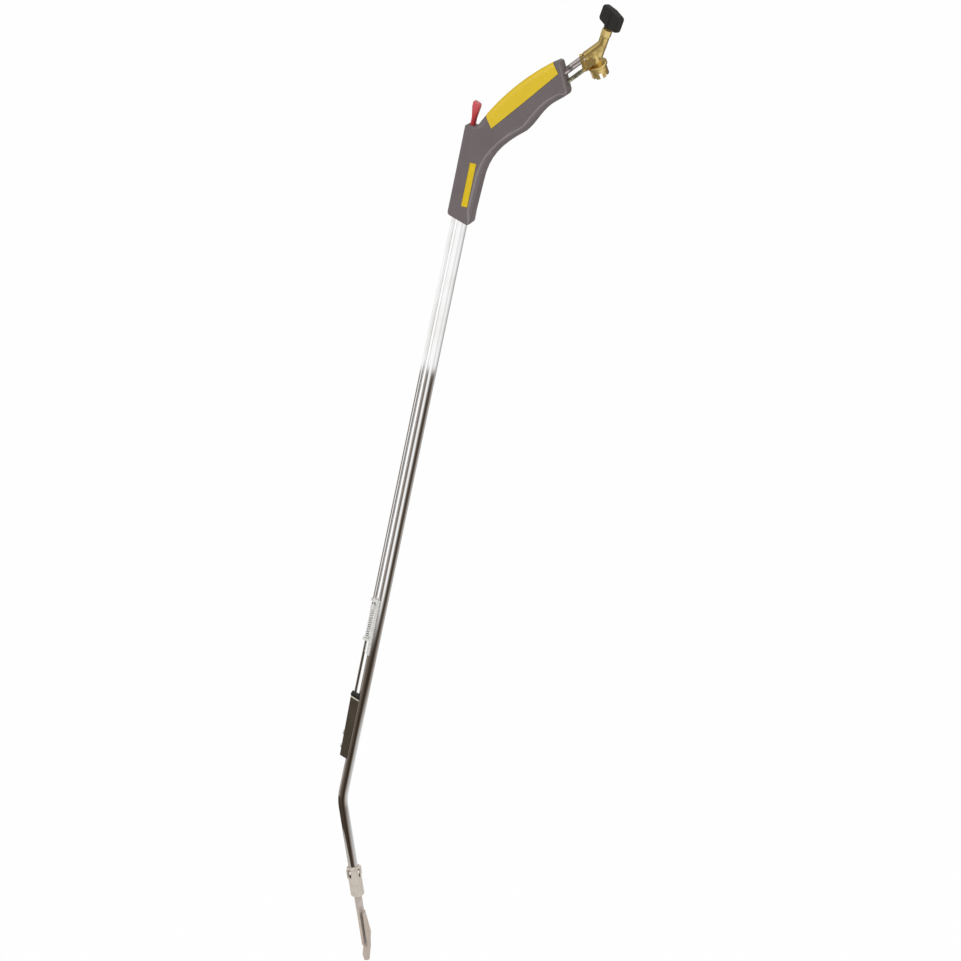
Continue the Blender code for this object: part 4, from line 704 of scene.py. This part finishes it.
def zinc_plate():
    """Cloudy pale plate with a trace of yellow."""
    finish = Finish("zinc_plate")
    cloud = grain(finish, ZINC_CLOUD, detail=BUSY)
    speck = grain(finish, ZINC_SPECK)
    yellowed = rise(finish, cloud, *ZINC_EDGE)
    return finish.coat(Base_Color=tint(finish, ZINC, ZINC_YELLOW, yellowed),
                       Metallic=ZINC_METAL,
                       Roughness=add_up(ZINC_ROUGH, cloud, speck),
                       Normal=relief(finish, speck, SPECK_DEPTH))


def pale_collar():
    """Satin cream-grey plate of the burner's collar."""
    finish = Finish("pale_collar")
    dull = rise(finish, grain(finish, COLLAR_CLOUD, detail=BUSY), *COLLAR_EDGE)
    speck = grain(finish, COLLAR_SPECK)
    return finish.coat(Base_Color=tint(finish, COLLAR_PALE, COLLAR_DULL, dull),
                       Metallic=COLLAR_METAL,
                       Roughness=add_up(COLLAR_ROUGH, speck),
                       Normal=relief(finish, speck, SPECK_DEPTH))


def burnt_steel():
    """Bare steel with heat colours towards the flame and painted shade in the fold."""
    finish = Finish("burnt_steel")
    point = finish.node("TexCoord", {}, {}, "Object")
    start = finish.node("VectorMath", {"operation": "SUBTRACT"}, {0: point, 1: tuple(BURNER_TOP)})
    cloud = grain(finish, STEEL_CLOUD, detail=BUSY)
    brush = grain(finish, BRUSH_SIZE, BRUSH_STRETCH, BURNER_AXIS)
    hot = along(finish, start, tuple(BURNER_AXIS)) + HEAT_WAVER * cloud
    bare = tint(finish, STEEL, STEEL_DULL, rise(finish, cloud, *STEEL_EDGE))
    warm = tint(finish, bare, STRAW, rise(finish, hot, *STRAW_FROM) * STRAW_SHARE)
    burnt = tint(finish, warm, BROWN_HEAT, rise(finish, hot, *BROWN_FROM) * BROWN_SHARE)
    off = along(finish, start, BURNER_SIDE)
    # Painted shade in the fold beside the tube, over part of its length.
    fold_shade = rise(finish, off, *FOLD_NEAR) * (1.0 - rise(finish, off, *FOLD_FAR))
    shade_span = rise(finish, hot, *FOLD_SHADE_FROM) * (1.0 - rise(finish, hot, *FOLD_SHADE_TO))
    return finish.coat(Base_Color=tint(finish, burnt, FOLD_SHADE, fold_shade * shade_span * FOLD_SHADE_SHARE),
                       Metallic=STEEL_METAL,
                       Roughness=add_up(STEEL_ROUGH, cloud, brush),
                       Normal=relief(finish, brush, BRUSH_DEPTH))


# %% [markdown]
# ## Brass
#
# The valve is cast and turned brass. The skin of the casting is slightly pitted, brown tarnish
# sits in patches, and the edges stay bright.

# %% Brass
BRASS = (0.72, 0.545, 0.21)
BRASS_DARK = (0.33, 0.235, 0.075)
BRASS_BRIGHT = (0.90, 0.74, 0.40)
BRASS_ROUGH = (0.24, 0.16, 0.10)
TARNISH_SIZE, TARNISH_EDGE, TARNISH_SHARE = 0.007, (0.42, 0.72), 0.7
PIT_SIZE, PIT_DEPTH = 0.0009, 0.00006
BRASS_EDGE, BRASS_EDGE_SHARE = 0.0006, 0.6


def cast_brass():
    """Tarnished brass with a pitted skin and bright edges."""
    finish = Finish("cast_brass")
    patch = rise(finish, grain(finish, TARNISH_SIZE, detail=BUSIEST), *TARNISH_EDGE)
    pits = grain(finish, PIT_SIZE, detail=BUSY)
    body = tint(finish, BRASS, BRASS_DARK, patch * TARNISH_SHARE)
    edges = worn(finish, BRASS_EDGE) * BRASS_EDGE_SHARE
    return finish.coat(Base_Color=tint(finish, body, BRASS_BRIGHT, edges),
                       Metallic=1.0,
                       Roughness=add_up(BRASS_ROUGH, patch, pits),
                       Normal=relief(finish, pits, PIT_DEPTH))


# %% [markdown]
# ## Dark plastics, gasket and insulator
#
# The knob and the housing's lid are black, the housing is a brown grey that shows faint vertical
# flow lines, and the gasket is cream rubber. The insulator of the electrode and the plunger are
# fired ceramic.

# %% Dark plastics, gasket and insulator
KNOB_BLACK = (0.015, 0.013, 0.010)
KNOB_RUBBED = (0.045, 0.041, 0.035)
KNOB_PORE, KNOB_ROUGH = 0.0007, (0.34, 0.16)
KNOB_EDGE, KNOB_RUB = 0.0009, 0.5
HOUSING_BROWN = (0.108, 0.083, 0.054)
HOUSING_DARK = (0.050, 0.039, 0.027)
HOUSING_FLOW, HOUSING_STRETCH = 0.0025, (1.0, 1.0, 0.12)
HOUSING_PORE, HOUSING_ROUGH = 0.0006, (0.38, 0.14)
DARK_SHEEN, DARK_PORE_DEPTH = 0.30, 0.00004
CREAM = (0.70, 0.66, 0.55)
CREAM_DULL = (0.55, 0.50, 0.40)
CREAM_PATCH, CREAM_SHARE = 0.003, 0.6
CREAM_ROUGH, CREAM_DEPTH = (0.55, 0.15), 0.00003
CERAMIC = (0.80, 0.77, 0.70)
CERAMIC_STAIN = (0.60, 0.52, 0.42)
CERAMIC_PATCH, CERAMIC_EDGE = 0.004, (0.50, 0.80)
CERAMIC_ROUGH, CERAMIC_DEPTH = (0.30, 0.20), 0.00002


def black_plastic():
    """Satin black with rubbed edges."""
    finish = Finish("black_plastic")
    pores = grain(finish, KNOB_PORE)
    rub = worn(finish, KNOB_EDGE) * KNOB_RUB
    return finish.coat(Base_Color=tint(finish, KNOB_BLACK, KNOB_RUBBED, rub),
                       Roughness=add_up(KNOB_ROUGH, pores),
                       Specular_IOR_Level=DARK_SHEEN,
                       Normal=relief(finish, pores, DARK_PORE_DEPTH))


def housing_plastic():
    """Brown grey with upright flow lines."""
    finish = Finish("housing_plastic")
    flow = grain(finish, HOUSING_FLOW, HOUSING_STRETCH, detail=BUSY)
    pores = grain(finish, HOUSING_PORE)
    return finish.coat(Base_Color=tint(finish, HOUSING_DARK, HOUSING_BROWN, flow),
                       Roughness=add_up(HOUSING_ROUGH, pores),
                       Specular_IOR_Level=DARK_SHEEN,
                       Normal=relief(finish, pores, DARK_PORE_DEPTH))


def cream_rubber():
    """Cream rubber, duller in patches."""
    finish = Finish("cream_rubber")
    patch = grain(finish, CREAM_PATCH, detail=BUSY)
    return finish.coat(Base_Color=tint(finish, CREAM, CREAM_DULL, patch * CREAM_SHARE),
                       Roughness=add_up(CREAM_ROUGH, patch),
                       Normal=relief(finish, patch, CREAM_DEPTH))


def fired_ceramic():
    """Pale ceramic with a brown stain."""
    finish = Finish("fired_ceramic")
    stain = rise(finish, grain(finish, CERAMIC_PATCH, detail=BUSY), *CERAMIC_EDGE)
    return finish.coat(Base_Color=tint(finish, CERAMIC, CERAMIC_STAIN, stain),
                       Roughness=add_up(CERAMIC_ROUGH, stain),
                       Normal=relief(finish, stain, CERAMIC_DEPTH))


# %% [markdown]
# ## Giving each solid its finish
#
# Each finish is made once and goes to the solids that are made of it. The tubes share a chrome
# finish with lines along the lance, and the pipe and the stay of the neck have lines along the
# neck.

# %% Dress the solids
NECK_LEAN = math.radians(48.15)
NECK_AXIS = (math.cos(NECK_LEAN), 0.0, math.sin(NECK_LEAN))
chrome = chrome_plate()
zinc = zinc_plate()
brass = cast_brass()
DRESS = {
    handle_plastic(): ("handle_shell_near", "handle_shell_far"),
    yellow_inlay(): ("grip_inlay_near", "grip_inlay_far"),
    bare_label(): ("label_plate",),
    red_button(): ("igniter_button",),
    chrome: ("lance_tube", "push_rod_upper", "push_rod_lower"),
    # The neck's pipe and stay carry a painted reflection in their tints and marks.
    dull_plate("grey_neck", NECK_AXIS, NECK_REFLECTION_GREY, NECK_DARK_REFLECTION): ("neck_pipe",),
    dull_plate("olive_stay", NECK_AXIS, STAY_REFLECTION_OLIVE, STAY_DARK_REFLECTION): ("stay_rod",),
    zinc: ("guide_bracket", "return_spring", "rod_collar", "spark_electrode", "housing_screw_1",
           "housing_screw_2", "handle_screw_1", "handle_screw_2", "handle_screw_3", "gas_pipe",
           "flame_holder"),
    pale_collar(): ("burner_collar",),
    burnt_steel(): ("burner_tube", "flame_shroud"),
    housing_plastic(): ("igniter_housing",),
    black_plastic(): ("housing_lid", "valve_knob", "ignition_lead", "piezo_unit"),
    cream_rubber(): ("lid_gasket", "stem_seal", "inlet_seal"),
    fired_ceramic(): ("piezo_plunger", "electrode_insulator"),
    brass: ("valve_body", "valve_stem", "gland_nut", "cylinder_collar", "neck_plate", "inlet_pin",
            "gas_jet", "gas_coupling"),
}
for material, names in DRESS.items():
    for name in names:
        nodes[name].data.materials.clear()
        nodes[name].data.materials.append(material)
print("dressed", sum(len(names) for names in DRESS.values()))

# %% [markdown]
# ## The return spring
#
# The solid spring is an even coil with few facets. A real one is closed at both ends: the last
# turns lie flat on the collar and on the bracket's ear. The new spring is wound in the solid's
# own box, as a tube swept along a coil whose climb is slow at the ends.

# %% Wind the spring
WIRE = 0.0008
TURNS = 13
CLOSED_TURNS = 1.0
STEPS_PER_TURN = 22
WIRE_SIDES = 8


def tube_mesh(name, path, radius, sides):
    """Mesh of a round wire swept along a path, with closed ends."""
    points = []
    faces = []
    normal = Vector((1.0, 0.0, 0.0))
    for i, point in enumerate(path):
        run = (path[min(i + 1, len(path) - 1)] - path[max(i - 1, 0)]).normalized()
        normal = (normal - run * normal.dot(run)).normalized()
        across = run.cross(normal)
        for j in range(sides):
            turn = math.tau * j / sides
            points.append(point + (normal * math.cos(turn) + across * math.sin(turn)) * radius)
    for i in range(len(path) - 1):
        for j in range(sides):
            k = (j + 1) % sides
            low, high = i * sides, (i + 1) * sides
            faces.append((low + j, low + k, high + k, high + j))
    faces.append(tuple(range(sides))[::-1])
    faces.append(tuple(range(len(points) - sides, len(points))))
    mesh = bpy.data.meshes.new(name)
    mesh.from_pydata([tuple(point) for point in points], [], faces)
    mesh.shade_smooth()
    return mesh


def wind_spring(low, high):
    """Path of a coil with closed ends that fills a box."""
    centre = (low + high) / 2
    radius = (high.x - low.x) / 2 - WIRE / 2
    start, end = low.z + WIRE / 2, high.z - WIRE / 2
    open_turns = TURNS - 2 * CLOSED_TURNS
    pitch = (end - start - 2 * CLOSED_TURNS * WIRE) / open_turns
    path = []
    for i in range(TURNS * STEPS_PER_TURN + 1):
        turn = i / STEPS_PER_TURN
        first = min(turn, CLOSED_TURNS) * WIRE
        open_part = min(max(turn - CLOSED_TURNS, 0.0), open_turns) * pitch
        last = max(turn - CLOSED_TURNS - open_turns, 0.0) * WIRE
        height = start + first + open_part + last
        angle = math.tau * turn
        path.append(Vector((centre.x + radius * math.cos(angle),
                            centre.y + radius * math.sin(angle), height)))
    return path


def new_piece(name, mesh, material, body):
    """Link a piece, dress it and let it ride on a body."""
    mesh.materials.append(material)
    piece = bpy.data.objects.new(name, mesh)
    bpy.context.scene.collection.objects.link(piece)
    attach(piece, body)
    return piece


spring_low, spring_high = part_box("return_spring")
coil_mesh = tube_mesh("spring_coil", wind_spring(spring_low, spring_high), WIRE / 2, WIRE_SIDES)
coil = new_piece("spring_coil", coil_mesh, zinc, "torch")
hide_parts("return_spring")
push = next(joint for joint in frame["joints"] if joint["name"] == "igniter_push")
stroke = push["range_m"][1]
length = spring_high.z - spring_low.z
1.0 - stroke / length
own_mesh(coil)
print(f"spring {length * 1000:.1f} mm, {(length - stroke) * 1000:.1f} mm when pressed")

# %% [markdown]
# ## The bent lance
#
# The lance is one tube, bent over a large former near its foot. The solid's bend is tighter than
# the real one, so the tube is swept again along a path with a wide bend, with its bore, between
# the same two ends.

# %% Bend the lance
BEND_RADIUS = 0.054
BEND_STEPS = 24
TUBE_RADIUS, BORE_RADIUS = 0.0050, 0.0042
TUBE_SIDES = 40
LEG_END = 0.080


def lance_path(head):
    """Path down the lance, round the bend and along the leg."""
    hub = BURNER_TOP + Vector((BEND_RADIUS, 0.0, BEND_RADIUS * math.tan(BURNER_LEAN / 2)))
    path = [Vector((BURNER_TOP.x, 0.0, head))]
    for i in range(BEND_STEPS + 1):
        turn = BURNER_LEAN * i / BEND_STEPS
        path.append(hub - Vector((math.cos(turn), 0.0, math.sin(turn))) * BEND_RADIUS)
    path.append(BURNER_TOP + BURNER_AXIS * LEG_END)
    return path


def round_mesh(name, points, faces):
    """Mesh that is shaded smoothly between its real edges."""
    mesh = bpy.data.meshes.new(name)
    mesh.from_pydata([tuple(point) for point in points], [], faces)
    mesh.shade_smooth()
    mesh.set_sharp_from_angle(angle=REAL_EDGE)
    return mesh


def pipe_mesh(name, path, outer, bore, sides):
    """Open tube in the XZ plane: an outer and an inner skin joined at both ends."""
    last = len(path) - 1
    turns = [math.tau * j / sides for j in range(sides)]
    rows = []
    for radius, order in ((outer, range(last + 1)), (bore, range(last, -1, -1))):
        for i in order:
            run = (path[min(i + 1, last)] - path[max(i - 1, 0)]).normalized()
            across = Vector((run.z, 0.0, -run.x))
            rows.append([path[i] + across * radius * math.cos(turn)
                         + Vector((0.0, radius * math.sin(turn), 0.0)) for turn in turns])
    faces = []
    for i in range(len(rows)):
        low, high = i * sides, (i + 1) % len(rows) * sides
        faces += [(low + j, low + (j + 1) % sides, high + (j + 1) % sides, high + j)
                  for j in range(sides)]
    return round_mesh(name, [point for row in rows for point in row], faces)


lance_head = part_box("lance_tube")[1].z
lance_mesh = pipe_mesh("bent_lance", lance_path(lance_head), TUBE_RADIUS, BORE_RADIUS, TUBE_SIDES)
lance = new_piece("bent_lance", lance_mesh, chrome, "torch")
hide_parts("lance_tube")
print("lance bent over", BEND_RADIUS, "m")

# %% [markdown]
# ## The braze of the neck
#
# The neck pipe is brazed into the valve. The braze leaves a small concave fillet round the pipe,
# which is turned here from a short curve.

# %% Braze the neck
NECK_FOOT = Vector((LANCE_X, 0.0, -0.036091))
BOSS_FACE = 0.1208
PIPE_RADIUS = 0.0033
FILLET = 0.0011
FILLET_STEPS = 6
FILLET_SIDES = 32


def fillet_mesh(name, foot, axis, radius):
    """Concave ring of braze round a pipe, lying against a face."""
    curve = [(radius, 0.0)]
    for i in range(FILLET_STEPS + 1):
        turn = math.pi / 2 * i / FILLET_STEPS
        curve.append((radius + FILLET * (1.0 - math.cos(turn)), FILLET * (1.0 - math.sin(turn))))
    first = axis.orthogonal().normalized()
    across = axis.cross(first)
    points = []
    for j in range(FILLET_SIDES):
        turn = math.tau * j / FILLET_SIDES
        spoke = first * math.cos(turn) + across * math.sin(turn)
        points += [foot + spoke * out - axis * climb for out, climb in curve]
    count = len(curve)
    total = len(points)
    faces = []
    for start in range(0, total, count):
        after = (start + count) % total
        faces += [(start + k, after + k, after + (k + 1) % count, start + (k + 1) % count)
                  for k in range(count)]
    return round_mesh(name, points, faces)


neck_axis = Vector(NECK_AXIS)
braze_foot = NECK_FOOT + neck_axis * BOSS_FACE
braze_mesh = fillet_mesh("neck_braze", braze_foot, neck_axis, PIPE_RADIUS)
new_piece("neck_braze", braze_mesh, brass, "torch")
print("neck brazed")

# %% [markdown]
# ## The web of the valve
#
# The casting fills the corner between the valve, the plate of the stay and the collar with a thin
# web. Its outline lies in the middle plane of the torch, and the web is the same on both sides of
# it.

# %% Cast the web
WEB_OUTLINE = ((0.0391, 0.0536), (0.0433, 0.0435), (0.0471, 0.0434), (0.0525, 0.0490),
               (0.0523, 0.0539), (0.0458, 0.0575))
WEB_HALF = 0.0022


def web_mesh(name, outline, half_width):
    """Flat web with an outline in the XZ plane."""
    count = len(outline)
    points = [(x, y, z) for y in (-half_width, half_width) for x, z in outline]
    faces = [tuple(range(count)), tuple(range(2 * count - 1, count - 1, -1))]
    faces += [(i, i + count, (i + 1) % count + count, (i + 1) % count) for i in range(count)]
    mesh = bpy.data.meshes.new(name)
    mesh.from_pydata(points, [], faces)
    return mesh


new_piece("valve_web", web_mesh("valve_web", WEB_OUTLINE, WEB_HALF), brass, "torch")
print("web", WEB_HALF * 2, "m thick")
